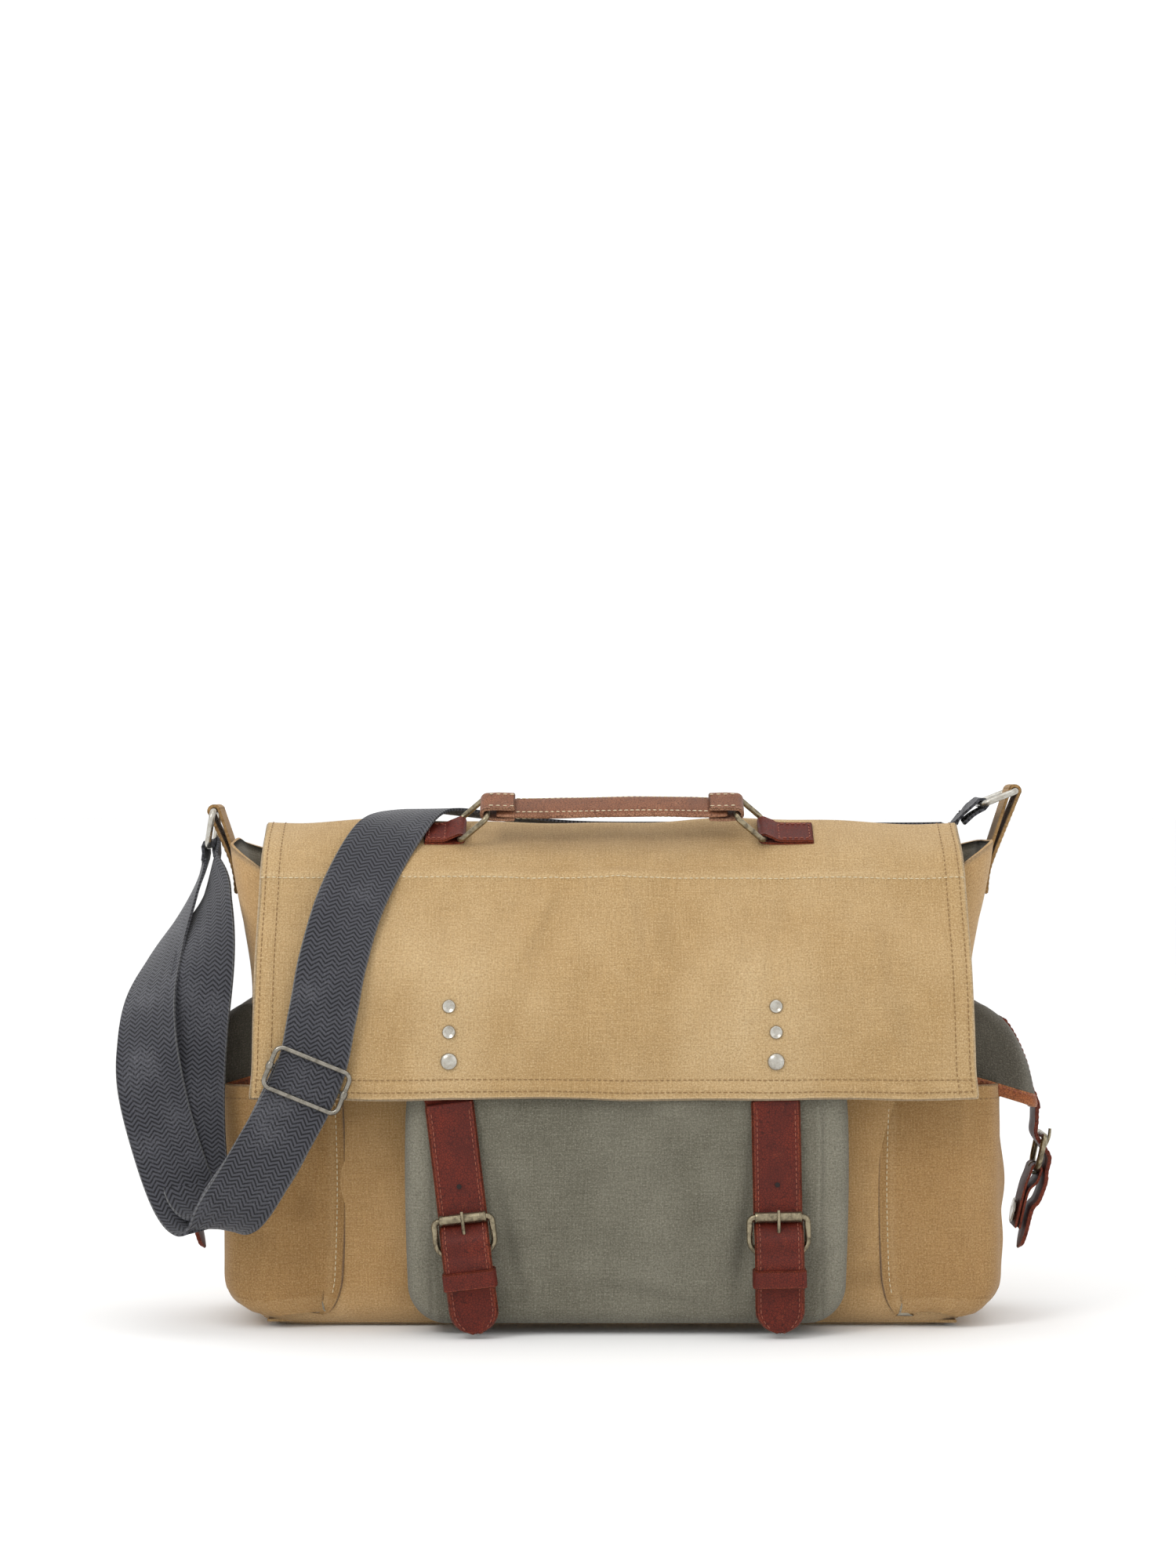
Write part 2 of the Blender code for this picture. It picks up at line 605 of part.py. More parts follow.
def makeSideStraps():
    out = GUSSET_X + CANVAS / 2 + HOOD_OUT + 0.0045
    level = HOOD_EDGE_Z - 0.0010
    wall = GUSSET_X + CANVAS / 2 + SIDE_POCKET_OUT
    for side, sign in (("left", -1), ("right", 1)):
        turn = makeEmpty(f"side_strap_frame_{side}", (sign * out, 0.0, level),
                         (0.0, 0.0, sign * math.radians(90)))
        hinge = makeEmpty(f"side_strap_hinge_{side}", (0.0, 0.0, 0.0), (SIDE_HANG, 0.0, 0.0), turn)
        strapUnit(f"side_{side}", hinge, SIDE_BUCKLE_DROP, SIDE_TAIL, False)
        snap = makeEmpty(f"side_snap_frame_{side}", (sign * (wall + GAP), 0.0, level - 0.0620),
                         (0.0, 0.0, sign * math.radians(90)))
        socket = disc(f"side_{side}_snap_socket", SNAP_RADIUS, -0.0025, 0.0, (0.0, 0.0), snap, bevel=0.0004)
        finish(socket, "pewter")


# ---- shoulder strap -----------------------------------------------------------
def ringArm(side):
    """Direction from the ring's upper bar to its lower bar, in X and Z."""
    return (-0.15, -0.99) if side == "left" else (-0.93, -0.37)


def makeRingsAndTabs():
    for side, sign in (("left", -1), ("right", 1)):
        loop_x, loop_z = RING_LOOP[side]
        radius = RING_WIRE + PLAY + 0.0003 + RING_TAB_THICK / 2
        lean = (loop_x - GUSSET_TOP_X - 0.00575, loop_z - RING_TAB_BEND_Z - 0.0060)
        size = math.hypot(*lean)
        along = (lean[0] / size, lean[1] / size)
        heading = math.degrees(math.atan2(along[1], along[0]))
        path = [(GUSSET_TOP_X + 0.00125, RING_TAB_FOOT_Z), (GUSSET_TOP_X + 0.00475, RING_TAB_BEND_Z)]
        path += list(reversed(arc((loop_x, loop_z), radius, heading - 225, heading + 90, 12)))
        tab = ribbon(f"ring_tab_{side}", mirrored(path, sign), RING_Y, RING_TAB_WIDTH,
                     RING_TAB_THICK, "y")
        finish(tab, "tan_canvas")
        arm = ringArm(side)
        hinge = makeEmpty(f"strap_ring_hinge_{side}", (sign * loop_x, RING_Y, loop_z))
        points = []
        for run, across in roundedRing(RING_LENGTH, 2 * RING_HALF, 0.0030, 3):
            run += RING_LENGTH / 2
            points.append((arm[0] * run, across, arm[1] * run))
        finish(wire(f"strap_ring_{side}", points, RING_WIRE, cyclic=True, parent=hinge), "pewter")


def smoothRows(rows, steps):
    """Points on a smooth curve through the rows, steps to each span."""
    rows = np.array(rows, float)
    padded = np.vstack([2 * rows[0] - rows[1], rows, 2 * rows[-1] - rows[-2]])
    result = []
    for i in range(1, len(padded) - 2):
        a, b, c, d = padded[i - 1:i + 3]
        for t in np.arange(steps) / steps:
            result.append(0.5 * (2 * b + (c - a) * t + (2 * a - 5 * b + 4 * c - d) * t ** 2
                                 + (3 * b - a - 3 * c + d) * t ** 3))
    result.append(rows[-1])
    return np.array(result)


def webbing(name, rows, steps=3):
    """A flat strap lofted along its middle line, with the direction of its width given."""
    rows = smoothRows(rows, steps)
    middles, widths = rows[:, :3], rows[:, 3:]
    tangents = np.gradient(middles, axis=0)
    tangents /= np.linalg.norm(tangents, axis=1, keepdims=True)
    widths = widths - tangents * np.sum(widths * tangents, axis=1, keepdims=True)
    widths /= np.linalg.norm(widths, axis=1, keepdims=True)
    normals = np.cross(tangents, widths)
    verts, faces = [], []
    for middle, width, normal in zip(middles, widths, normals):
        for w, n in ((-1, -1), (1, -1), (1, 1), (-1, 1)):
            verts.append(middle + width * w * WEBBING_WIDTH / 2 + normal * n * WEBBING_THICK / 2)
    for i in range(len(middles) - 1):
        for k in range(4):
            a, b = 4 * i + k, 4 * i + (k + 1) % 4
            faces.append((a, b, b + 4, a + 4))
    last = len(verts) - 4
    faces += [(3, 2, 1, 0), (last, last + 1, last + 2, last + 3)]
    mesh = bpy.data.meshes.new(name)
    mesh.from_pydata([tuple(v) for v in verts], [], faces)
    made = bmesh.new()
    made.from_mesh(mesh)
    bmesh.ops.triangulate(made, faces=made.faces)
    bmesh.ops.recalc_face_normals(made, faces=made.faces)
    made.to_mesh(mesh)
    made.free()
    return finish(linkObject(name, mesh), "cotton_webbing")


# Middle line of the strap (x, y, z) and the direction of its width, from the left
# ring down the side, round the hanging loop, up across the flap and behind the crown.
STRAP_RUN = [
    (-0.2570, -0.0530, 0.1980, 0.77, -0.64, 0.0),
    (-0.2560, -0.0670, 0.1700, 0.92, -0.38, 0.0),
    (-0.2525, -0.0740, 0.1350, 1.0, 0.0, 0.05),
    (-0.2440, -0.0770, 0.0980, 0.97, 0.05, 0.2),
    (-0.2330, -0.0820, 0.0720, 0.9, 0.25, 0.3),
    (-0.2200, -0.0920, 0.0590, 0.85, 0.5, 0.0),
    (-0.2060, -0.1010, 0.0700, 0.88, 0.2, -0.35),
    (-0.1900, -0.1035, 0.0950, 0.88, 0.0, -0.47),
    (-0.1656, -0.1035, 0.1406, 0.88, 0.0, -0.47),
    (-0.1575, -0.1020, 0.1750, 0.95, 0.0, -0.3),
    (-0.1520, -0.0980, 0.2050, 0.95, 0.0, -0.3),
    (-0.1420, -0.0810, 0.2400, 0.95, 0.0, -0.3),
    (-0.1240, -0.0530, 0.2740, 0.97, -0.1, -0.2),
    (-0.1050, -0.0220, 0.2860, 0.75, -0.65, 0.0),
    (-0.0700, 0.0020, 0.2830, 0.4, -0.9, 0.05),
    (-0.0200, 0.0180, 0.2775, 0.05, -1.0, 0.1),
    (0.1880, 0.0200, 0.2765, 0.0, -1.0, 0.1),
]
SLIDER_ROW = 8
LEFT_END = [
    (-0.2305, 0.0120, 0.2610, 0.0, -1.0, 0.0),
    (-0.2335, 0.0115, 0.2500, 0.0, -1.0, 0.0),
    (-0.2410, 0.0030, 0.2370, 0.2, -0.98, 0.0),
    (-0.2510, -0.0190, 0.2200, 0.5, -0.87, 0.0),
    (-0.2560, -0.0400, 0.2050, 0.7, -0.71, 0.0),
]


def makeShoulderStrap():
    webbing("shoulder_webbing", STRAP_RUN)
    webbing("webbing_end_left", LEFT_END)
    loop_x, loop_z = RING_LOOP["right"]
    arm = ringArm("right")
    reach = RING_LENGTH + RING_WIRE + 0.0015
    end = (loop_x + arm[0] * reach, RING_Y, loop_z + arm[1] * reach)
    start = FLAP_WIDTH / 2 + 0.0010
    rows = [(start, RING_Y, end[2] - 0.0040, 0.0, -1.0, 0.0),
            ((start + end[0]) / 2, RING_Y, end[2] - 0.0016, 0.0, -1.0, 0.0),
            (*end, 0.0, -1.0, 0.0)]
    webbing("webbing_end_right", rows)
    below, above = (Vector(STRAP_RUN[SLIDER_ROW + step][:3]) for step in (-1, 1))
    run = above - below
    tilt = math.atan2(run.x, run.z)
    centre = STRAP_RUN[SLIDER_ROW][:3]
    frame = makeEmpty("slider_frame", centre, (0.0, tilt, 0.0))
    front = -WEBBING_THICK / 2 - SLIDER_WIRE - 2 * GAP
    ring = roundedRing(SLIDER_WIDTH - 2 * SLIDER_WIRE, SLIDER_HEIGHT - 2 * SLIDER_WIRE, 0.0030, 3)
    slider = toMesh(wire("slider", [(x, front, z) for x, z in ring], SLIDER_WIRE,
                         cyclic=True, parent=frame))
    side = SLIDER_WIDTH / 2 - SLIDER_WIRE
    bar_points = [(-side, front, 0.0), (-side, -front, 0.0), (side, -front, 0.0), (side, front, 0.0)]
    bar = toMesh(wire("slider_bar", bar_points, SLIDER_WIRE, parent=frame))
    finish(combine(slider, bar, "UNION"), "pewter")


makeBody()
makeFrontPocket()
makeSidePockets()
makeSideHoods()
makeFlap()
makeHandle()
makeFrontStraps()
makeSideStraps()
makeRingsAndTabs()
makeShoulderStrap()
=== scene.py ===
import json
import math

import bmesh
import bpy
import numpy as np
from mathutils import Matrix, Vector

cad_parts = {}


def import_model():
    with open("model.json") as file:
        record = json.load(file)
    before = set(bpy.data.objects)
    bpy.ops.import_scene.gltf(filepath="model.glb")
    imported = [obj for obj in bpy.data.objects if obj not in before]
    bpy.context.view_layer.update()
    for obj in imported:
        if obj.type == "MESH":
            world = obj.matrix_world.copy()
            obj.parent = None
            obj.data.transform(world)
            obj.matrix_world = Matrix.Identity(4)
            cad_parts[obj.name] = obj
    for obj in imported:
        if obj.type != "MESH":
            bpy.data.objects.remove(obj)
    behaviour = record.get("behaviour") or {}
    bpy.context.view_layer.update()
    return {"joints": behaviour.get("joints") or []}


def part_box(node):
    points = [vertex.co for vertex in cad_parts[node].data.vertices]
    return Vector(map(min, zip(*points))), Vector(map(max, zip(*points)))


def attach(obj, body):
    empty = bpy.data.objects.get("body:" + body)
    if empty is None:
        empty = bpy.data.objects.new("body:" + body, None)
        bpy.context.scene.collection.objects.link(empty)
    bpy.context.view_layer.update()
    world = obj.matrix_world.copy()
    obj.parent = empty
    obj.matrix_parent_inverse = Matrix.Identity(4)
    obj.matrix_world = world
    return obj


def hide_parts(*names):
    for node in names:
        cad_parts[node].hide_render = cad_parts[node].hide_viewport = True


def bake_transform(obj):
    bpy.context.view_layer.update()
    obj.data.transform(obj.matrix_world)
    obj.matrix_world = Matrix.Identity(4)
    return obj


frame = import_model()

print("frame loaded")


# shader maths: one socket wrapper, one node method
class Sock:
    def __init__(self, tree, socket):
        self.tree, self.socket = tree, socket

    def math(self, operation, other):
        node = self.tree.nodes.new("ShaderNodeMath")
        node.operation = operation
        for target, value in zip(node.inputs, (self, other)):
            plug(self.tree, target, value)
        return Sock(self.tree, node.outputs[0])

    def __add__(self, other): return self.math("ADD", other)
    def __mul__(self, other): return self.math("MULTIPLY", other)
    def __mod__(self, other): return self.math("FLOORED_MODULO", other)
    def least(self, other): return self.math("MINIMUM", other)


def plug(tree, target, value):
    if isinstance(value, Sock):
        tree.links.new(value.socket, target)
    elif value is not None:
        target.default_value = value


class Finish:
    def __init__(self, name, **constants):
        self.material = bpy.data.materials.new(name)
        self.material.use_nodes = True
        self.tree = self.material.node_tree
        self.shader = self.tree.nodes["Principled BSDF"]
        for key, value in constants.items():
            self.shader.inputs[key.replace("_", " ")].default_value = value

    def node(self, kind, settings=None, values=None, out=0):
        made = self.tree.nodes.new("ShaderNode" + kind)
        for key, value in (settings or {}).items():
            setattr(made, key, value)
        for key, value in (values or {}).items():
            plug(self.tree, made.inputs[key], value)
        return Sock(self.tree, made.outputs[out])

    def coords(self, kind="Object", scale=(1, 1, 1)):
        return self.node("Mapping", {}, {"Vector": self.node("TexCoord", out=kind), "Scale": scale})

    def split(self, vector):
        made = self.tree.nodes.new("ShaderNodeSeparateXYZ")
        plug(self.tree, made.inputs[0], vector)
        return [Sock(self.tree, out) for out in made.outputs]

    def noise(self, vector, scale, detail=3.0, rough=0.55, distortion=0.0):
        return self.node("TexNoise", {}, {"Vector": vector, "Scale": scale, "Detail": detail,
                                          "Roughness": rough, "Distortion": distortion})

    def remap(self, value, low, high, start=0.0, end=1.0):
        return self.node("MapRange", {}, {"Value": value, 1: low, 2: high, 3: start, 4: end})

    def mix(self, factor, first, second):
        first, second = ((*c, 1.0) if isinstance(c, tuple) else c for c in (first, second))
        return self.node("Mix", {"data_type": "RGBA"}, {0: factor, 6: first, 7: second}, out=2)

    def sine(self, phase):
        return self.node("Math", {"operation": "SINE"}, {0: phase})

    def attribute(self, name):
        return self.node("Attribute", {"attribute_name": name}, out="Fac")

    def bump(self, height, distance, strength=1.0, under=None):
        return self.node("Bump", {}, {"Height": height, "Distance": distance,
                                      "Strength": strength, "Normal": under})

    def send(self, **links):
        for key, value in links.items():
            plug(self.tree, self.shader.inputs[key.replace("_", " ")], value)
        return self.material


clothLook = {
    "threads": 1150.0,      # per metre
    "bumpDepth": 0.00022,
    "slub": (1500, 60, 1),  # stretched noise along one thread direction
    "speckle": (700, 700, 1),
    "fleck": (1050, 1050, 1),
}


def darker(colour, share):
    return tuple(share * c for c in colour)


def canvasFinish(name, dark, mid, pale, fadeShare=0.35):
    f = Finish(name, Roughness=0.92, Sheen_Weight=0.12, Sheen_Roughness=0.5, Specular_IOR_Level=0.2)
    x, y = f.split(f.coords("UV"))[:2]
    # warp and weft: two sets of slubby threads with uneven thickness
    fine, coarse, flat = clothLook["slub"]
    warpNoise = f.noise(f.coords("UV", (fine, coarse, flat)), 1.0, 3.0, 0.6)
    weftNoise = f.noise(f.coords("UV", (coarse, fine, flat)), 1.0, 3.0, 0.6)
    turns = clothLook["threads"] * math.pi
    warp = f.sine(x * turns + warpNoise * 2.5)
    weft = f.sine(y * turns + weftNoise * 2.5)
    weave = (warp * warp) * 0.5 + (weft * weft) * 0.5
    slub = warpNoise * 0.5 + weftNoise * 0.5
    broad = f.noise(f.coords("Object"), 9.0, 4.0, 0.6, 0.3)
    patch = f.noise(f.coords("Object", (1, 1, 0.6)), 24.0, 5.0, 0.65)
    worn = f.attribute("wear")
    shade = f.remap(slub, 0.36, 0.66)
    tone = f.mix(shade, dark, mid)
    fade = f.remap(broad * 0.55 + patch * 0.45, 0.42, 0.66, 0.0, fadeShare)
    speckle = f.noise(f.coords("UV", clothLook["speckle"]), 1.0, 4.0, 0.7)
    tone = f.mix(((fade + worn * 0.75) * f.remap(speckle, 0.35, 0.62, 0.35, 1.15)).least(0.9), tone, pale)
    # painted shade: darker in the gaps between the threads, where the weave lies low
    tone = f.mix(f.remap(weave, 0.0, 0.35, 0.22, 0.0), tone, darker(dark, 0.45))
    # flecks: darker and paler thread crossings
    fleck = f.noise(f.coords("UV", clothLook["fleck"]), 1.0, 3.0, 0.75)
    tone = f.mix(f.remap(fleck, 0.50, 0.30, 0.0, 0.62), tone, darker(dark, 0.62))
    tone = f.mix(f.remap(fleck, 0.52, 0.70, 0.0, 0.62), tone, pale)
    # painted shade: darker where the crease mark is set, along the front pocket's folds and side seams and on
    # the side pockets' wrinkles; on the body and flap the mark is random patches
    tone = f.mix(f.attribute("crease") * 0.45, tone, darker(dark, 0.6))
    height = weave * 0.7 + slub * 0.8
    soft = f.bump(f.noise(f.coords("Object"), 55.0, 3.0, 0.5), 0.0012, 0.45)
    normal = f.bump(height, clothLook["bumpDepth"], 0.85, soft)
    return f.send(Base_Color=tone, Normal=normal, Roughness=f.remap(shade, 0, 1, 0.96, 0.85))


def leatherFinish(name, dark, mid, worn, grain=700.0, rough=(0.42, 0.62), coat=0.12):
    f = Finish(name, Coat_Roughness=0.35, Specular_IOR_Level=0.2, Coat_Weight=coat)
    place = f.coords("Object")
    cells = f.node("TexVoronoi", {"feature": "DISTANCE_TO_EDGE"}, {"Vector": place, "Scale": grain})
    cloud = f.noise(place, 60.0, 5.0, 0.6, 0.4)
    scuff = f.noise(f.coords("Object", (1, 1, 0.35)), 190.0, 4.0, 0.7, 0.8)
    edge = f.attribute("edge")
    tone = f.mix(f.remap(cloud, 0.3, 0.7), dark, mid)
    rub = f.remap(scuff, 0.58, 0.8, 0.0, 0.55)
    tone = f.mix((rub + edge * f.remap(cloud, 0.25, 0.6, 0.2, 0.75)).least(0.9), tone, worn)
    creases = f.remap(cells, 0.0, 0.12, 0.0, 1.0)
    tone = f.mix(creases, darker(dark, 0.55), tone)
    height = creases * 0.6 + cloud * 0.8
    normal = f.bump(height, 0.00012, 0.7, f.bump(cloud, 0.0010, 0.35))
    return f.send(Base_Color=tone, Normal=normal, Roughness=f.remap(cloud, 0.3, 0.7, *rough))


tapeLook = {"column": 0.0036, "rib": 0.0026, "yarn": 0.0009, "bumpDepth": 0.00035}


def webbingFinish(name, dark, mid, pale):
    f = Finish(name, Roughness=0.88, Sheen_Weight=0.2, Specular_IOR_Level=0.25)
    x, y = f.split(f.coords("UV"))[:2]
    # herringbone: slanted ribs that turn at each column
    zig = f.node("Math", {"operation": "PINGPONG"}, {0: x * (1.0 / tapeLook["column"]), 1: 1.0})
    wobble = f.noise(f.coords("UV", (300, 300, 1)), 1.0, 2.0)
    rib = (y * (1.0 / tapeLook["rib"]) + zig * 1.15 + wobble * 0.16) % 1.0
    ridge = f.sine(rib * math.pi)
    yarn = f.sine(x * (2 * math.pi / tapeLook["yarn"]) + wobble * 3.0)
    fuzz = f.noise(f.coords("UV", (900, 900, 1)), 1.0, 3.0, 0.7)
    cloud = f.noise(f.coords("Object"), 35.0, 3.0)
    height = ridge * 0.85 + yarn * 0.12 + fuzz * 0.2
    # painted shade: near black in the grooves between the herringbone ribs, mid colour on the ribs
    tone = f.mix(f.remap(ridge, 0.30, 0.95), dark, mid)
    tone = f.mix(f.remap(fuzz * 0.6 + cloud * 0.4, 0.5, 0.72, 0.0, 0.6), tone, pale)
    return f.send(Base_Color=tone, Normal=f.bump(height, tapeLook["bumpDepth"], 0.9))


def metalFinish(name, bright, tarnish, rough=(0.22, 0.5), amount=(0.42, 0.68)):
    f = Finish(name, Metallic=1.0)
    place = f.coords("Object")
    cloud = f.noise(place, 260.0, 5.0, 0.65, 0.5)
    fine = f.noise(place, 1400.0, 3.0, 0.6)
    mask = f.remap(cloud, *amount)
    tone = f.mix(mask, bright, tarnish)
    normal = f.bump(fine * 0.5 + cloud * 0.5, 0.00006, 0.5)
    return f.send(Base_Color=tone, Normal=normal, Metallic=f.remap(mask, 0, 1, 1.0, 0.85),
                  Roughness=f.remap(mask + fine * 0.3, 0, 1.2, *rough))


def threadFinish(name, colour):
    f = Finish(name, Roughness=0.7, Sheen_Weight=0.15)
    ply = f.noise(f.coords("Object"), 900.0, 2.0)
    tone = f.mix(f.remap(ply, 0.35, 0.65), darker(colour, 0.72), colour)
    return f.send(Base_Color=tone, Normal=f.bump(ply, 0.00008, 0.6))


tan = canvasFinish("tanCanvas", (0.305, 0.190, 0.078), (0.435, 0.285, 0.128), (0.61, 0.465, 0.275))
tanBody = canvasFinish("tanCanvasShell", (0.31, 0.178, 0.070), (0.45, 0.275, 0.112), (0.60, 0.43, 0.235),
                       0.25)
# painted shade: a darker copy of the tan canvas, for the side pockets and ring tabs
tanShaded = canvasFinish("tanCanvasBody", (0.235, 0.125, 0.043), (0.345, 0.200, 0.074), (0.50, 0.345, 0.175),
                       0.25)
grey = canvasFinish("greyCanvas", (0.090, 0.083, 0.060), (0.150, 0.141, 0.106), (0.29, 0.275, 0.218), 0.30)
# painted shade: a darker copy of the grey canvas, for the hoods
greyShaded = canvasFinish("greyCanvasDeep", (0.052, 0.046, 0.034), (0.088, 0.078, 0.060), (0.19, 0.175, 0.14),
                        0.30)
lining = canvasFinish("liningCanvas", (0.22, 0.19, 0.14), (0.34, 0.30, 0.23), (0.42, 0.38, 0.30), 0.1)
oxblood = leatherFinish("oxbloodLeather", (0.072, 0.009, 0.005), (0.132, 0.017, 0.008),
                        (0.23, 0.048, 0.020), coat=0.02)
gripLeather = leatherFinish("gripLeather", (0.150, 0.056, 0.027), (0.245, 0.100, 0.052),
                            (0.40, 0.215, 0.130), coat=0.04)
cognac = leatherFinish("cognacLeather", (0.20, 0.052, 0.015), (0.31, 0.095, 0.027), (0.42, 0.175, 0.070),
                       coat=0.06)
# painted shade: the first, near-black colour fills the herringbone grooves
webbing = webbingFinish("herringboneWebbing", (0.006, 0.006, 0.008), (0.056, 0.057, 0.067),
                        (0.15, 0.15, 0.165))
brass = metalFinish("antiqueBrass", (0.30, 0.255, 0.17), (0.085, 0.068, 0.044))
pewter = metalFinish("pewter", (0.50, 0.485, 0.44), (0.33, 0.30, 0.25), (0.2, 0.38))
gunmetal = metalFinish("gunmetal", (0.27, 0.25, 0.215), (0.13, 0.118, 0.095), (0.2, 0.42))
goldThread = threadFinish("goldThread", (0.25, 0.135, 0.038))
creamThread = threadFinish("creamThread", (0.66, 0.56, 0.37))
rustThread = threadFinish("rustThread", (0.27, 0.060, 0.024))
greyThread = threadFinish("greyThread", (0.26, 0.25, 0.19))
# painted shade: a near-black finish that stands in for the shade inside a punched hole
holeShadeDisc = Finish("punchedHole", Base_Color=(0.012, 0.006, 0.005, 1), Roughness=0.9).material
print("materials made")


# mesh helpers
def waves(x, y, size, seed, count=9):
    # smooth seeded ripples between about -1 and 1, size is the usual wavelength
    rng = np.random.default_rng(seed)
    total = np.zeros(np.broadcast(x, y).shape)
    for angle, phase, stretch in rng.random((count, 3)):
        k = 2 * math.pi / (size * (0.6 + 0.9 * stretch))
        total = total + np.cos(k * (x * math.cos(math.pi * angle) + y * math.sin(math.pi * angle))
                               + 6.28 * phase)
    return total / math.sqrt(count)


def fold(x, y, start, end, width, depth):
    # one soft crease line that fades out at both ends
    a, b = np.array(start), np.array(end)
    along = b - a
    length = np.linalg.norm(along)
    along = along / length
    t = ((x - a[0]) * along[0] + (y - a[1]) * along[1]) / length
    d = (x - a[0]) * -along[1] + (y - a[1]) * along[0]
    ends = np.clip(np.sin(np.clip(t, 0, 1) * math.pi), 0, 1) ** 0.6
    return depth * np.exp(-(d / width) ** 2) * ends * ((t > 0) & (t < 1))


def smooth(points, steps):
    rows = np.array(points, float)
    padded = np.vstack([2 * rows[0] - rows[1], rows, 2 * rows[-1] - rows[-2]])
    result = []
    for i in range(1, len(padded) - 2):
        a, b, c, d = padded[i - 1:i + 3]
        for t in np.arange(steps) / steps:
            result.append(0.5 * (2 * b + (c - a) * t + (2 * a - 5 * b + 4 * c - d) * t ** 2
                                 + (3 * b - a - 3 * c + d) * t ** 3))
    return np.array(result + [rows[-1]])


def evenly(points, count):
    points = np.array(points, float)
    run = np.concatenate([[0], np.cumsum(np.linalg.norm(np.diff(points, axis=0), axis=1))])
    marks = np.linspace(0, run[-1], count)
    return np.stack([np.interp(marks, run, points[:, k]) for k in range(points.shape[1])], axis=1)


def bend(middle, radius, angles, steps=8):
    # an arc in a plane, angles in degrees
    turn = np.radians(np.linspace(*angles, steps + 1))
    return [(middle[0] + radius * math.cos(a), middle[1] + radius * math.sin(a)) for a in turn]


def turnCorner(run, flat, radius):
    # a wall that turns a rounded corner: how far across and how far back the distance run reaches
    if run < flat:
        return run, 0.0
    if run < flat + radius * math.pi / 2:
        t = (run - flat) / radius
        return flat + radius * math.sin(t), radius * (1 - math.cos(t))
    return flat + radius, radius + (run - flat - radius * math.pi / 2)


def tubeFaces(rings, sides, closed=False):
    # quads between neighbouring rings of points, with two end caps unless it closes on itself
    faces = []
    for i in range(rings if closed else rings - 1):
        j = (i + 1) % rings
        faces += [(i * sides + k, i * sides + (k + 1) % sides, j * sides + (k + 1) % sides, j * sides + k)
                  for k in range(sides)]
    if not closed:
        faces += [tuple(range(sides))[::-1], tuple((rings - 1) * sides + k for k in range(sides))]
    return faces


def makeMesh(name, verts, faces, finishes, uv=None, marks=None, merge=0.0, parts=None):
    mesh = bpy.data.meshes.new(name)
    mesh.from_pydata([tuple(v) for v in verts], [], [tuple(int(i) for i in f) for f in faces])
    layer = mesh.uv_layers.new(name="UVMap")
    if uv is not None:
        index = np.empty(len(mesh.loops), int)
        mesh.loops.foreach_get("vertex_index", index)
        layer.data.foreach_set("uv", np.asarray(uv, float)[index].ravel())
    for key, values in (marks or {}).items():
        made = mesh.attributes.new(key, "FLOAT", "POINT")
        made.data.foreach_set("value", np.asarray(values, float).ravel())
    if not isinstance(finishes, (list, tuple)):
        finishes = [finishes]
    for material in finishes:
        mesh.materials.append(material)
    if parts is not None:
        mesh.polygons.foreach_set("material_index", parts)
    if merge:
        made = bmesh.new()
        made.from_mesh(mesh)
        bmesh.ops.remove_doubles(made, verts=made.verts, dist=merge)
        made.to_mesh(mesh)
        made.free()
    mesh.shade_smooth()
    obj = bpy.data.objects.new(name, mesh)
    bpy.context.scene.collection.objects.link(obj)
    return obj


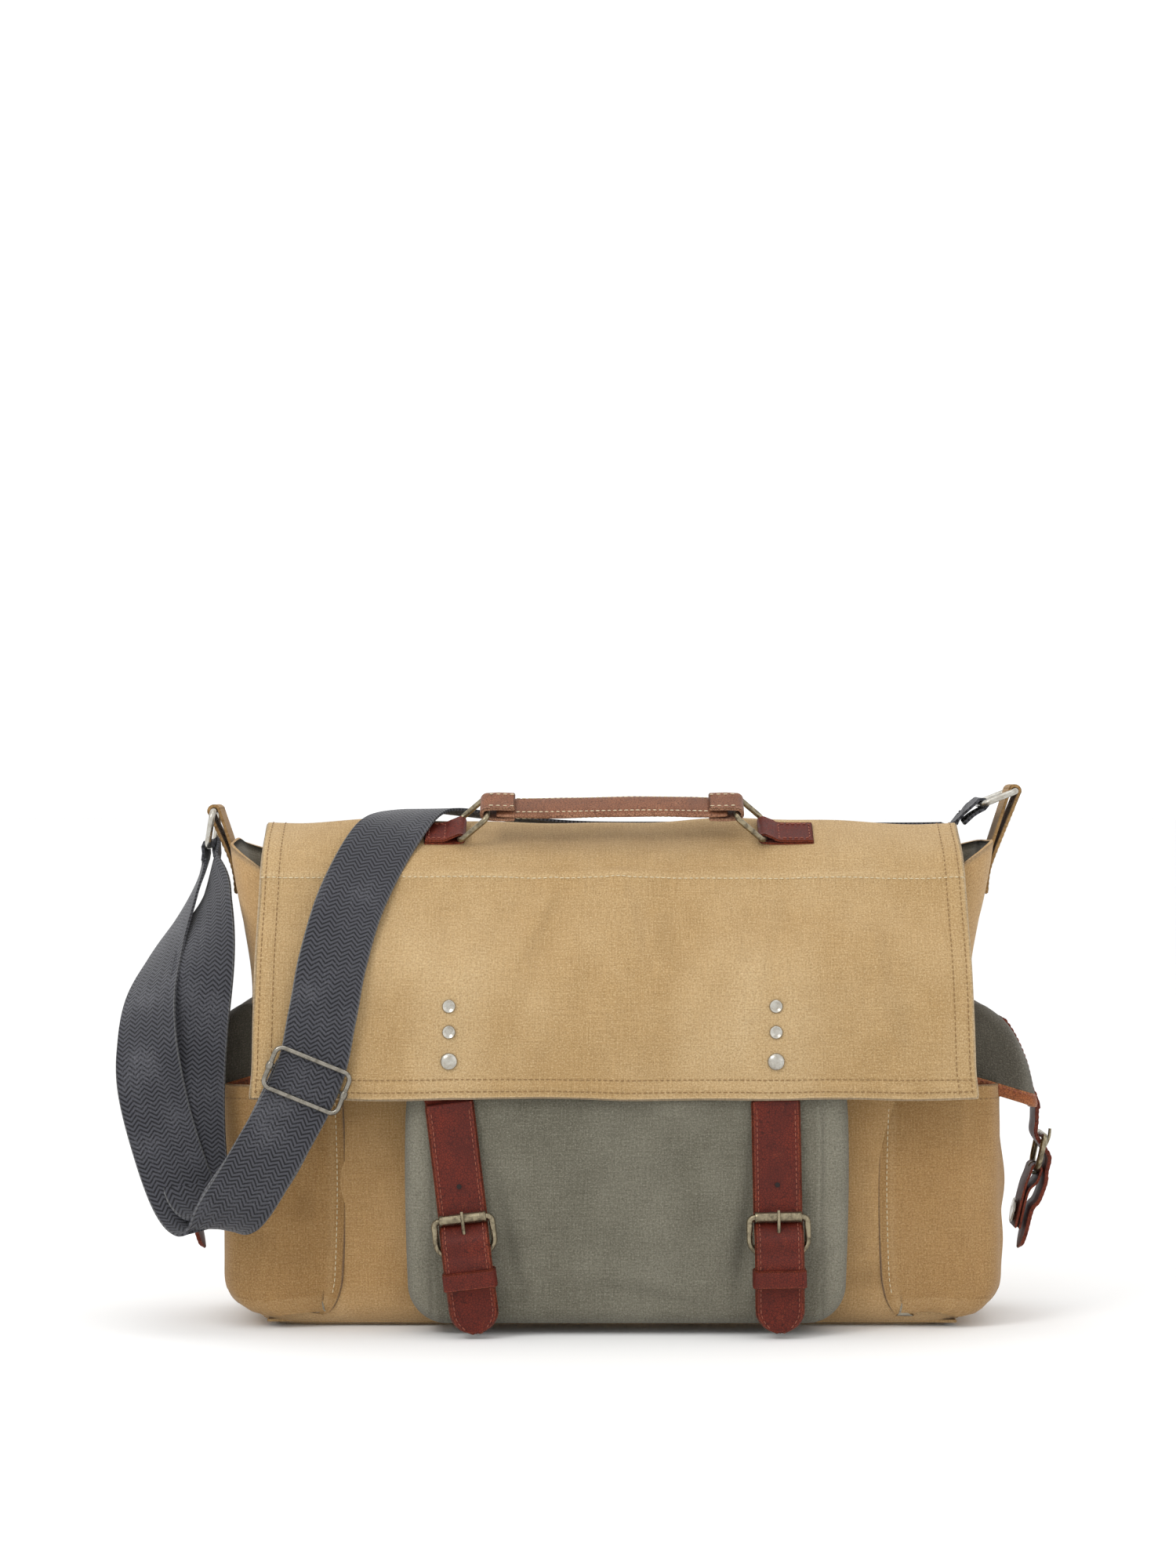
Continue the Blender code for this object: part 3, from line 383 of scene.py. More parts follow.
class Surface:
    # a grid of points with its normals and its cloth coordinates in metres
    def __init__(self, points, uv=None, flip=False):
        self.points = np.array(points, float)
        self.flip = flip
        du = np.gradient(self.points, axis=0)
        dv = np.gradient(self.points, axis=1)
        n = np.cross(du, dv)
        n /= np.maximum(np.linalg.norm(n, axis=2, keepdims=True), 1e-12)
        self.normals = -n if flip else n
        if uv is None:
            a = np.cumsum(np.linalg.norm(np.diff(self.points, axis=0, prepend=self.points[:1]), axis=2),
                          axis=0)
            b = np.cumsum(np.linalg.norm(np.diff(self.points, axis=1, prepend=self.points[:, :1]), axis=2),
                          axis=1)
            uv = np.stack([a.mean(axis=1)[:, None] + 0 * a, b.mean(axis=0)[None, :] + 0 * b], axis=2)
        self.uv = uv

    def at(self, i, j, lift=0.0):
        # place between grid points, lifted off the cloth
        nu, nv = self.points.shape[:2]
        i = np.clip(np.asarray(i, float), 0, nu - 1.0001)
        j = np.clip(np.asarray(j, float), 0, nv - 1.0001)
        a, b = i.astype(int), j.astype(int)
        s, t = (i - a)[:, None], (j - b)[:, None]
        out = []
        for field in (self.points, self.normals):
            out.append((field[a, b] * (1 - s) + field[a + 1, b] * s) * (1 - t)
                       + (field[a, b + 1] * (1 - s) + field[a + 1, b + 1] * s) * t)
        return out[0] + out[1] * lift

    def line(self, u, v, lift=0.0006):
        # cloth coordinates in metres to places on the surface
        us, vs = self.uv[:, 0, 0], self.uv[0, :, 1]
        i = np.interp(u, us, np.arange(len(us)))
        j = np.interp(v, vs, np.arange(len(vs)))
        return self.at(i, j, lift)

    def solid(self, name, thick, material, marks=None, merge=0.0, inner=None):
        p, n = self.points, self.normals
        nu, nv = p.shape[:2]
        total = nu * nv
        grid = np.arange(total).reshape(nu, nv)
        loop = [(0, j) for j in range(nv)] + [(i, nv - 1) for i in range(1, nu)]
        loop += [(nu - 1, j) for j in range(nv - 2, -1, -1)] + [(i, 0) for i in range(nu - 2, 0, -1)]
        rim = []
        for i, j in loop:
            ii, jj = min(max(i, 1), nu - 2), min(max(j, 1), nv - 2)
            out = p[i, j] - p[ii, jj]
            out = out - n[i, j] * np.dot(out, n[i, j])
            size = np.linalg.norm(out)
            rim.append(p[i, j] + (out / size if size > 1e-9 else out) * thick * 0.42)
        verts = np.concatenate([(p + n * thick / 2).reshape(-1, 3), (p - n * thick / 2).reshape(-1, 3), rim])
        q = np.stack([grid[:-1, :-1], grid[1:, :-1], grid[1:, 1:], grid[:-1, 1:]], axis=-1).reshape(-1, 4)
        front = q[:, ::-1] if self.flip else q
        back = q + total
        back = back if self.flip else back[:, ::-1]
        edge = np.array([grid[i, j] for i, j in loop])
        after = np.roll(edge, -1)
        mid = 2 * total + np.arange(len(loop))
        midAfter = np.roll(mid, -1)
        sides = [np.stack([edge, mid, midAfter, after], 1),
                 np.stack([mid, edge + total, after + total, midAfter], 1)]
        sides = np.concatenate(sides)
        sides = sides[:, ::-1] if self.flip else sides
        faces = np.concatenate([front, back, sides])
        uv = self.uv.reshape(-1, 2)
        uvAll = np.concatenate([uv, uv, [self.uv[i, j] for i, j in loop]])
        both = {}
        for key, values in (marks or {}).items():
            values = np.broadcast_to(values, (nu, nv))
            both[key] = np.concatenate([values.ravel(), values.ravel(), [values[i, j] for i, j in loop]])
        finishes, parts = material, None
        if inner is not None:
            finishes = [material, inner]
            parts = [0] * len(front) + [1] * len(back) + [0] * len(sides)
        return makeMesh(name, verts, faces, finishes, uvAll, both, merge, parts)


def strip(name, path, widths, width, thick, material, arch=0.0, across=9, tip=0.0):
    # a strap: middle line and direction of its width; arch rounds its face, tip its last end
    path = np.array(path, float)
    widths = np.array(widths, float)
    tangent = np.gradient(path, axis=0)
    tangent /= np.linalg.norm(tangent, axis=1, keepdims=True)
    widths = widths - tangent * np.sum(widths * tangent, axis=1, keepdims=True)
    widths /= np.linalg.norm(widths, axis=1, keepdims=True)
    run = np.concatenate([[0], np.cumsum(np.linalg.norm(np.diff(path, axis=0), axis=1))])
    half = np.full(len(path), width / 2)
    if tip:
        left = np.clip((run[-1] - run) / tip, 0, 1)
        half = width / 2 * np.sqrt(np.clip(1 - (1 - left) ** 2.0, 0.02, 1))
    s = np.sin(np.linspace(-math.pi / 2, math.pi / 2, across))
    points = path[:, None, :] + widths[:, None, :] * (half[:, None] * s[None, :])[:, :, None]
    if arch:
        normal = np.cross(tangent, widths)
        points = points + normal[:, None, :] * (arch * (1 - s ** 2))[None, :, None]
    uv = np.stack([half[:, None] * s[None, :], run[:, None] + 0 * s[None, :]], axis=2)
    surface = Surface(points, uv)
    surface.run, surface.half = run, half
    mark = {"edge": np.clip((np.abs(s) - 0.86) / 0.14, 0, 1)[None, :] + 0 * run[:, None]}
    return surface.solid(name, thick, material, mark), surface


def adopt(obj, body, slotName, *nodes):
    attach(obj, body)
    if nodes:
        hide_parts(*nodes)
    return obj


# bag body: one soft lofted shell, its lining side showing inside, and a bottom panel
bodyShape = {
    "cloth": 0.0018,
    "cornerRadius": 0.022,
    "baseRadius": 0.017,
    "bulge": 0.0022,
    "columns": 260,
    "rows": 70,
}
low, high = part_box("side_gusset_right")
frontLow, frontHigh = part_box("front_panel")
_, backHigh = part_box("back_panel")
gussetTop = high[2]
frontTop, backTop = frontHigh[2], backHigh[2]
frontY, backY = frontLow[1], backHigh[1]
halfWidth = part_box("side_flap_binding_right")[0][0] - 0.0165 - 0.0022
flareOut = high[0] - halfWidth


def bodyEdge(z):
    # half width of the body at a height: rounded base, waist, flared top
    base = bodyShape["baseRadius"]
    under = np.sqrt(np.clip(1 - ((base - np.minimum(z, base)) / base) ** 2, 0, 1))
    flare = np.interp(z, [0, 0.185, 0.225, 0.262, 0.270], [0, 0, 0.35, 0.92, 1.0]) * flareOut
    return halfWidth - base * (1 - under) + flare


def makeBody():
    s = bodyShape
    flat, deep, r = halfWidth - s["cornerRadius"], backY - s["cornerRadius"], s["cornerRadius"]
    outline = []
    for cx, cy, start in ((flat, -deep, -90), (flat, deep, 0), (-flat, deep, 90), (-flat, -deep, 180)):
        turn = np.radians(np.linspace(start, start + 90, 14))
        outline += [(cx + r * math.cos(a), cy + r * math.sin(a)) for a in turn]
    outline.append(outline[0])
    plan = evenly(outline, s["columns"] + 1)
    sideness = np.clip((np.abs(plan[:, 0]) - flat) / r, 0, 1)
    top = frontTop + sideness * (gussetTop - frontTop)
    top = top + (plan[:, 1] > deep) * (backTop - frontTop) * (1 - sideness)
    heights = np.linspace(0, 1, s["rows"]) ** 1.25
    points = np.zeros((len(plan), s["rows"], 3))
    crease = np.zeros(points.shape[:2])
    for j, share in enumerate(heights):
        z = top * share
        edge = bodyEdge(z)
        under = np.clip((s["baseRadius"] - z) / s["baseRadius"], 0, 1)
        inset = s["baseRadius"] * (1 - np.sqrt(np.clip(1 - under ** 2, 0, 1)))
        x = plan[:, 0] * (edge / halfWidth)
        y = plan[:, 1] * (1 - inset / backY)
        swell = s["bulge"] * np.sin(math.pi * share) * (1 + 0.6 * waves(plan[:, 0], z + 0 * x, 0.11, 4))
        pinch = 0.0035 * np.exp(-((z - 0.195) / 0.03) ** 2) * sideness
        x = x + np.sign(plan[:, 0]) * sideness * (swell * 0.8 - pinch)
        y = y + np.sign(plan[:, 1]) * (1 - sideness) * (swell - 0.0016)
        sag = 0.0012 * waves(plan[:, 0], plan[:, 1], 0.12, 8) * np.clip(share * 1.2, 0, 1)
        points[:, j] = np.stack([x, y, z + sag], axis=1)
        crease[:, j] = np.clip(waves(x, z + 0 * x, 0.05, 31) * 0.8 - 0.9, 0, 1)
    points[-1] = points[0]
    surface = Surface(points)
    rows = 0.25 * np.clip(waves(plan[:, 0][:, None], heights[None, :] * 0.26, 0.07, 12), 0, 1)
    rows = rows + 0.55 * np.clip(1 - heights / 0.10, 0, 1)[None, :]
    body = surface.solid("bagBody", s["cloth"], tanBody, {"wear": rows, "crease": crease}, 0.00002, lining)
    adopt(body, "root", "tan_canvas", "front_panel", "back_panel", "side_gusset_left", "side_gusset_right")


def makeBottom():
    baseLow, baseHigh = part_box("bottom_panel")
    x = np.linspace(-halfWidth + 0.010, halfWidth - 0.010, 90)
    y = np.linspace(baseLow[1] + 0.006, baseHigh[1] - 0.006, 40)
    gx, gy = np.meshgrid(x, y, indexing="ij")
    z = 0.0010 + 0.0004 * (waves(gx, gy, 0.06, 3) + 1)
    rim = np.maximum(np.abs(gx) / x[-1], np.abs(gy) / y[-1])
    surface = Surface(np.stack([gx, gy, z + 0.0012 * np.clip((rim - 0.9) / 0.1, 0, 1)], axis=2))
    bottom = surface.solid("bottomPanel", 0.0016, tanBody, {"wear": 0.4 * (rim > 0.95)}, 0.0, lining)
    adopt(bottom, "root", "tan_canvas", "bottom_panel")


makeBody()
makeBottom()
print("body made")


# front pocket: a puffed patch with a boxed side strip
frontPocket = {
    "cloth": 0.0016, "corner": 0.020, "puff": 0.0030, "sideStrip": 0.0115, "turnRadius": 0.009,
    "mouthLean": 0.0030, "mouthDepth": 0.06,
    # start, end, width and depth of each crease
    "folds": (((-0.075, 0.10), (-0.055, 0.008), 0.004, 0.0020),
              ((0.070, 0.11), (0.060, 0.010), 0.0045, 0.0022),
              ((-0.020, 0.030), (0.055, 0.012), 0.004, 0.0014)),
}


def makeFrontPocket():
    s = frontPocket
    lo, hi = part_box("front_pocket")
    half, face, centre = (hi[0] - lo[0]) / 2 - 0.0005, lo[1] + 0.0012, (lo[0] + hi[0]) / 2
    nx, nz = 150, 110
    u = np.linspace(-1, 1, nx)
    # rows run from the top edge down the face, round the base and back under the pocket
    wrapDepth = frontY - face
    gx = np.zeros((nx, nz))
    gy = np.zeros((nx, nz))
    gz = np.zeros((nx, nz))
    span = half * 2 + 2 * (wrapDepth - 0.004)
    a = u * span / 2
    r = s["turnRadius"]
    flat = half - r
    for i, run in enumerate(a):
        x, y = turnCorner(abs(run), flat, r)
        gx[i, :] = math.copysign(x, run)
        gy[i, :] = min(y, wrapDepth)
    top, base = hi[2], lo[2]
    height = top - base
    v = np.linspace(0, 1, nz)
    total = height + wrapDepth - 0.004
    for j, share in enumerate(v):
        fall, y = turnCorner(share * total, height - r, r)
        gz[:, j] = top - fall
        gy[:, j] = np.maximum(gy[:, j], min(y, wrapDepth))
    # round the lower corners in the front view
    c = s["corner"]
    cx, cz = half - c, base + c
    dx, dz = np.abs(gx) - cx, cz - gz
    inside = (dx > 0) & (dz > 0)
    reach = np.maximum(np.maximum(dx, dz), 1e-6)
    radial = np.hypot(dx, dz)
    scale = np.where(inside, reach / np.maximum(radial, 1e-6), 1.0)
    gx = np.where(inside, np.sign(gx) * (cx + dx * scale), gx)
    gz = np.where(inside, cz - dz * scale, gz)
    middle = np.clip(1 - (gx / half) ** 4, 0, 1) * np.clip((gz - base) / 0.02, 0, 1)
    puff = -s["puff"] * middle * (0.45 + 0.35 * waves(gx, gz, 0.10, 21) * 0.6)
    hand = -0.0007 * waves(gx, gz, 0.045, 22) * middle
    creases = sum(fold(gx, gz, *crease) for crease in s["folds"])
    gy = gy + face + puff + hand + creases * (gy < 0.004)
    widen = 0.0025 * np.sin(math.pi * np.clip((gz - base) / height, 0, 1))
    gx = gx + np.sign(gx) * widen * (np.abs(gx) > half * 0.8)
    mouth = np.clip((gz - top + s["mouthDepth"]) / s["mouthDepth"], 0, None)
    gx = gx - np.sign(gx) * s["mouthLean"] * mouth
    uv = np.stack([a[:, None] + 0 * gx, (1 - v)[None, :] * total + 0 * gx], axis=2)
    surface = Surface(np.stack([gx + centre, gy, gz], axis=2), uv, flip=True)
    seam = np.exp(-((np.abs(gx) - (half - s["sideStrip"])) / 0.0012) ** 2)
    rub = np.clip(waves(gx, gz, 0.07, 33) * 0.5 - 0.3, 0, 1) * 0.35
    rub = rub + 0.45 * np.exp(-((gy - face - 0.001) / 0.004) ** 2) * (np.abs(gx) > half * 0.88)
    # painted shade: the crease mark darkens the cloth along the side seam and the folds
    marks = {"wear": rub, "crease": seam * 0.8 + np.clip(creases / 0.002, 0, 1) * 0.4}
    pocket = surface.solid("frontPocket", s["cloth"], grey, marks, 0.0, lining)
    adopt(pocket, "root", "grey_canvas", "front_pocket")
    return surface, half


frontPocketSurface, frontPocketHalf = makeFrontPocket()
print("front pocket made")


# side pockets: tan patches that wrap the front corners and stand off the gussets
sidePocket = {"cloth": 0.0016, "cornerFall": 0.022, "wrinkle": 0.0011, "swing": 0.0013, "edgeColumn": 2.6}


def makeSidePocket(side, sign):
    s = sidePocket
    lo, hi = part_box(f"side_pocket_{side}")
    inner, outer = (min(abs(lo[0]), abs(hi[0])), max(abs(lo[0]), abs(hi[0])))
    front, rear = lo[1] - 0.0002, hi[1]
    plan = [(inner, frontY - 0.0006), (inner + 0.009, frontY - 0.0014),
            (inner + 0.022, (front + frontY) / 2), (inner + 0.042, front)]
    plan += [(outer - 0.022, front - 0.0002), (outer - 0.007, front + 0.005), (outer - 0.0006, front + 0.020)]
    plan += [(outer + 0.0012, front + 0.050), (outer + 0.0006, rear - 0.030), (outer - 0.003, rear - 0.010)]
    plan += [(outer - 0.011, rear - 0.0015), (halfWidth + 0.001, rear)]
    plan = evenly(smooth(plan, 12), 120)
    rows = 80
    top, base = hi[2], lo[2] - 0.0035
    points = np.zeros((len(plan), rows, 3))
    run = np.linspace(0, 1, len(plan))
    uvRun = np.concatenate([[0], np.cumsum(np.linalg.norm(np.diff(plan, axis=0), axis=1))])
    crease = np.zeros((len(plan), rows))
    for j in range(rows):
        t = j / (rows - 1)
        z = top - t * (top - base)
        fall = np.clip((s["cornerFall"] - (z - base)) / s["cornerFall"], 0, 1)
        tuck = 1 - np.sqrt(np.clip(1 - fall ** 2, 0, 1))
        x = plan[:, 0] - tuck * (plan[:, 0] - inner) * 0.26 + tuck * 0.010 * (plan[:, 0] < inner + 0.01)
        y = plan[:, 1] + tuck * np.where(plan[:, 1] < -0.03, 0.0035, 0.0)
        wave = waves(plan[:, 0] + plan[:, 1], z + 0 * x, 0.05, 50 + (side == "left"))
        swing = waves(plan[:, 0] * 2 + plan[:, 1], z + 0 * x, 0.12, 54 + (side == "left"))
        push = (s["wrinkle"] * wave + s["swing"] * swing) * np.sin(math.pi * run)
        lean = 0.0022 * math.sin(t * math.pi * 1.1)
        x = x + push * (plan[:, 1] > front + 0.02) - lean * (run < 0.1) * (1 - run / 0.1)
        y = y - push * (plan[:, 1] <= front + 0.02) * 0.8
        points[:, j] = np.column_stack([x * sign, y, np.full(len(plan), z) + 0.001 * wave * (t > 0.9)])
        # painted shade: the crease mark darkens the wrinkles that the same wave pushes out
        crease[:, j] = np.clip(wave * 0.8 - 0.8, 0, 1)
    fallen = np.linspace(0, 1, rows)[None, :] + 0 * uvRun[:, None]
    uv = np.stack([uvRun[:, None] + 0 * fallen, (top - base) * (1 - fallen)], axis=2)
    surface = Surface(points, uv, flip=sign > 0)
    marks = {"wear": 0.35 * np.exp(-((run - 0.035) / 0.010) ** 2)[:, None] + 0.3 * (fallen > 0.93),
             "crease": crease}
    # the side pocket takes the darker tan copy: painted shade
    pocket = surface.solid(f"sidePocket_{side}", s["cloth"], tanShaded, marks, 0.0, lining)
    adopt(pocket, "root", "tan_canvas", f"side_pocket_{side}")
    return surface


sidePocketSurfaces = {side: makeSidePocket(side, sign) for side, sign in (("left", -1), ("right", 1))}
print("side pockets made")


# hooded flaps of the side pockets, bound with cognac leather along the free edge
hood = {
    "cloth": 0.0018, "bindingWidth": 0.0062, "bindingThick": 0.0030, "point": 0.010, "cornerRadius": 0.010,
}


def makeHood(side, sign):
    s = hood
    lo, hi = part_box(f"side_pocket_flap_{side}")
    wall, outer = min(abs(lo[0]), abs(hi[0])), max(abs(lo[0]), abs(hi[0]))
    top, edge = hi[2], lo[2] + 0.001
    yFront, yRear = lo[1], hi[1]
    # across: from the front cheek over the outer face to the rear cheek, drop: from the top down
    na, nd = 90, 44
    profile = smooth([(wall, top - 0.0005), (wall + 0.008, top - 0.0016), (wall + 0.021, top - 0.012),
                      (outer - 0.006, top - 0.030), (outer - 0.0012, edge + 0.006), (outer - 0.0002, edge)],
                     10)
    profile = evenly(profile, nd)
    points = np.zeros((na, nd, 3))
    half, mid = (yRear - yFront) / 2, (yRear + yFront) / 2
    spread = np.linspace(-1, 1, na)
    for j, (px, pz) in enumerate(profile):
        depth = px - wall
        t = j / (nd - 1)
        radius = min(s["cornerRadius"], max(depth * 0.9, 0.0005))
        flat = half - radius
        for i, run in enumerate(spread * (half + depth * 0.92)):
            d = abs(run)
            y, back = turnCorner(d, flat, radius)
            x = wall + max(depth - min(back, depth), 0.0)
            ripple = 0.0009 * math.sin(run * 95 + sign) * t
            point = s["point"] * t * np.exp(-(run / 0.045) ** 2) * 0.35
            z = pz - point + (back / max(depth, 1e-4)) * 0.010 * t * (d > flat)
            points[i, j] = (sign * (x + ripple * (d < flat)), mid + math.copysign(y, run), z)
    surface = Surface(points, flip=sign > 0)
    rub = 0.5 * np.exp(-((np.abs(spread) - half / (half + 0.034)) / 0.04) ** 2)[:, None] * np.ones((1, nd))
    # the hood takes the darker grey copy: painted shade
    cover = surface.solid(f"sideHood_{side}", s["cloth"], greyShaded, {"wear": rub}, 0.0, lining)
    adopt(cover, f"side_flap_{side}", "grey_canvas", f"side_pocket_flap_{side}")
    # binding: a folded leather strip over the hood's lower edge
    lip = points[:, -1]
    up = points[:, -2] - lip
    up /= np.linalg.norm(up, axis=1, keepdims=True)
    out = surface.normals[:, -1]
    ring = []
    w, h = s["bindingThick"] / 2, s["bindingWidth"]
    for a, b in ((h * 0.95, w * 0.62), (h * 0.5, w), (0.0006, w), (-w * 0.8, w * 0.5), (-w * 0.8, -w * 0.5),
                 (0.0006, -w), (h * 0.5, -w), (h * 0.95, -w * 0.62)):
        ring.append(lip + up * a + out * b)
    ring = np.stack(ring, axis=1)
    n, m = ring.shape[:2]
    marks = {"edge": np.tile([0.7, 0, 0.3, 1, 1, 0.3, 0, 0.7], n)}
    binding = makeMesh(f"hoodBinding_{side}", ring.reshape(-1, 3), tubeFaces(n, m), cognac, marks=marks)
    fixNormals(binding)
    adopt(binding, f"side_flap_{side}", "binding_leather", f"side_flap_binding_{side}")
    stitch = lip + up * h * 0.72 + out * (w + 0.0003)
    return surface, stitch


def fixNormals(obj):
    made = bmesh.new()
    made.from_mesh(obj.data)
    bmesh.ops.recalc_face_normals(made, faces=made.faces)
    made.to_mesh(obj.data)
    made.free()


hoods = {side: makeHood(side, sign) for side, sign in (("left", -1), ("right", 1))}
print("hoods made")


# main flap: one canvas sheet folded over the crown, with a lapped seam under the front edge
flap = {
    "cloth": 0.0022, "columns": 260, "rows": 190, "lapDrop": 0.026, "wrinkle": 0.0013, "foldDepth": 1.5,
    "strapX": 0.089, "stitchLift": 0.00015,
    # start and end above the hem, width and depth of each crease
    "folds": (((-0.030, 0.125), (-0.052, 0.075), 0.0050, 0.0022),
              ((0.002, 0.130), (0.014, 0.070), 0.0060, 0.0020),
              ((-0.010, 0.085), (-0.016, 0.012), 0.0080, -0.0016),
              ((0.060, 0.110), (0.074, 0.040), 0.0055, 0.0017),
              ((0.098, 0.120), (0.084, 0.052), 0.0060, -0.0018),
              ((-0.088, 0.120), (-0.090, 0.060), 0.0075, -0.0016),
              ((0.140, 0.100), (0.150, 0.030), 0.0060, 0.0014),
              ((-0.140, 0.090), (-0.150, 0.020), 0.0070, 0.0013)),
}


def makeFlap():
    s = flap
    lo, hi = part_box("main_flap")
    half = hi[0]
    face = lo[1] + 0.0012
    edge, crown = lo[2], hi[2] - 0.0012
    profile = smooth([(backY + 0.0020, backTop - 0.0110), (backY + 0.0020, backTop - 0.0020),
                      (backY - 0.0006, backTop + 0.0030), (backY - 0.012, crown - 0.0115),
                      (0.026, crown - 0.0080), (-0.004, crown - 0.0034), (-0.024, crown - 0.0003),
                      (-0.034, crown - 0.0022), (-0.056, crown - 0.0150), (-0.067, crown - 0.0290),
                      (-0.0775, crown - 0.0500), (-0.0885, crown - 0.0720),
                      (face + 0.0030, crown - 0.0900), (face, crown - 0.1120),
                      (face - 0.0002, edge + 0.0200), (face, edge)], 14)
    profile = evenly(profile, s["rows"])
    run = np.concatenate([[0], np.cumsum(np.linalg.norm(np.diff(profile, axis=0), axis=1))])
    u = np.linspace(-1, 1, s["columns"])
    gu, gr = np.meshgrid(u, run, indexing="ij")
    tangent = np.gradient(profile, axis=0)
    tangent /= np.linalg.norm(tangent, axis=1, keepdims=True)
    normal = np.column_stack([tangent[:, 1], -tangent[:, 0]])
    down = np.clip((gr - run[-1] * 0.42) / (run[-1] * 0.58), 0, 1)
    width = half * (0.985 + 0.014 * down + 0.006 * np.exp(-((gr - run[-1]) / 0.01) ** 2))
    x = gu * width + 0.0016 * (gu > 0) * down
    y = np.tile(profile[:, 0], (len(u), 1))
    z = np.tile(profile[:, 1], (len(u), 1))
    inside = np.clip((1 - np.abs(gu)) / 0.10, 0, 1) ** 0.5
    lift = s["wrinkle"] * waves(x, gr, 0.085, 61) * inside
    lift += 0.0005 * waves(x, gr * 0.45, 0.032, 62) * inside * np.clip(down * 2, 0, 1)
    bottom = run[-1]
    for (startX, startRise), (endX, endRise), wide, deep in s["folds"]:
        start, end = (startX, bottom - startRise), (endX, bottom - endRise)
        lift += s["foldDepth"] * fold(x, gr, start, end, wide, deep)
    # leather straps riveted behind push the front out a little; the crown sags between the tabs
    for middle in (-s["strapX"], s["strapX"]):
        lift += 0.0010 * np.exp(-((x - middle) / 0.016) ** 4) * np.clip(down * 3 - 1.2, 0, 1)
    sag = -0.0022 * np.exp(-((x + 0.004) / 0.045) ** 2) + 0.0012 * np.exp(-((x + 0.100) / 0.05) ** 2)
    sag += 0.0010 * np.exp(-((x - 0.050) / 0.03) ** 2) - 0.0008 * np.exp(-((np.abs(x) - 0.185) / 0.02) ** 2)
    sag = sag * np.exp(-((gr - run[-1] * 0.34) / (run[-1] * 0.17)) ** 2)
    ends = np.clip(gr / 0.012, 0, 1)
    y = y + normal[None, :, 0] * lift * ends
    z = z + normal[None, :, 1] * lift * ends + sag
    z = z + (0.0007 * waves(x, 0 * x, 0.11, 66)) * np.clip((gr - bottom + 0.02) / 0.02, 0, 1)
    # lapped seam: a step of one cloth thickness
    seamRun = bottom - (crown - s["lapDrop"] - edge) - 0.004
    seam = gr - seamRun
    step = 0.0011 * np.exp(-(seam / 0.0030) ** 2) + 0.0005 * (seam < 0)
    y = y + normal[None, :, 0] * step
    z = z + normal[None, :, 1] * step
    hem = np.minimum(half * (1 - np.abs(gu)), bottom - gr)
    ridge = 0.0006 * np.exp(-((hem - 0.006) / 0.0028) ** 2) * (down > 0)
    y = y + normal[None, :, 0] * ridge
    z = z + normal[None, :, 1] * ridge
    uv = np.stack([gu * half, gr], axis=2)
    surface = Surface(np.stack([x, y, z], axis=2), uv, flip=True)
    wear = 0.45 * np.exp(-((seam - 0.0004) / 0.0011) ** 2) + 0.6 * np.clip(1 - hem / 0.0016, 0, 1)
    for middle in (-s["strapX"], s["strapX"]):
        wear = wear + 0.42 * np.exp(-((x - middle) / 0.024) ** 4 - ((gr - bottom + 0.035) / 0.045) ** 4)
    wear = wear + 0.42 * np.clip(waves(x, gr * 0.6, 0.09, 63) * 0.9 - 0.35, 0, 1) * down
    crease = 0.4 * np.clip(waves(x, gr * 0.5, 0.045, 64) * 0.9 - 1.1, 0, 1)
    marks = {"wear": np.clip(wear, 0, 1), "crease": crease}
    cover = surface.solid("flapCanvas", s["cloth"], tan, marks, 0.0, lining)
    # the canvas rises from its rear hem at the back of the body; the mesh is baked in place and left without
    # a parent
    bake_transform(cover)
    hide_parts("main_flap")
    surface.run, surface.seam = run, seamRun
    return surface


flapSurface = makeFlap()
print("flap made")


# wires and turned pieces
def framesAlong(points, closed):
    p = np.array(points, float)
    if closed:
        tangent = np.roll(p, -1, axis=0) - np.roll(p, 1, axis=0)
    else:
        tangent = np.gradient(p, axis=0)
    tangent /= np.linalg.norm(tangent, axis=1, keepdims=True)
    first = np.cross(tangent[0], (0.31, 0.92, 0.24))
    first /= np.linalg.norm(first)
    sides = [first]
    for t in tangent[1:]:
        side = sides[-1] - t * np.dot(sides[-1], t)
        sides.append(side / np.linalg.norm(side))
    sides = np.array(sides)
    ups = np.cross(tangent, sides)
    if closed:
        last = sides[-1] - tangent[0] * np.dot(sides[-1], tangent[0])
        twist = math.atan2(np.dot(last, ups[0]), np.dot(last, sides[0]))
        angles = -twist * np.arange(len(p)) / len(p)
        c, s = np.cos(angles)[:, None], np.sin(angles)[:, None]
        sides, ups = sides * c + ups * s, ups * c - sides * s
    return p, sides, ups


def tubeData(points, radius, closed=False, sides=14):
    p, a, b = framesAlong(points, closed)
    radius = np.broadcast_to(np.asarray(radius, float), (len(p),))
    turn = np.linspace(0, 2 * math.pi, sides, endpoint=False)
    around = np.cos(turn)[None, :, None] * a[:, None] + np.sin(turn)[None, :, None] * b[:, None]
    rings = p[:, None] + radius[:, None, None] * around
    return rings.reshape(-1, 3), tubeFaces(len(p), sides, closed)


def turnedData(profile, centre, axis, sides=36):
    axis = np.array(axis, float) / np.linalg.norm(axis)
    a = np.cross(axis, (0.2, 0.3, 0.9))
    a /= np.linalg.norm(a)
    b = np.cross(axis, a)
    turn = np.linspace(0, 2 * math.pi, sides, endpoint=False)
    verts = [np.array(centre) + axis * h + r * (math.cos(t) * a + math.sin(t) * b)
             for r, h in profile for t in turn]
    return np.array(verts), tubeFaces(len(profile), sides)


def joinData(*data):
    verts, faces, start = [], [], 0
    for v, f in data:
        verts.append(np.asarray(v))
        faces += [tuple(i + start for i in face) for face in f]
        start += len(v)
    return np.concatenate(verts), faces


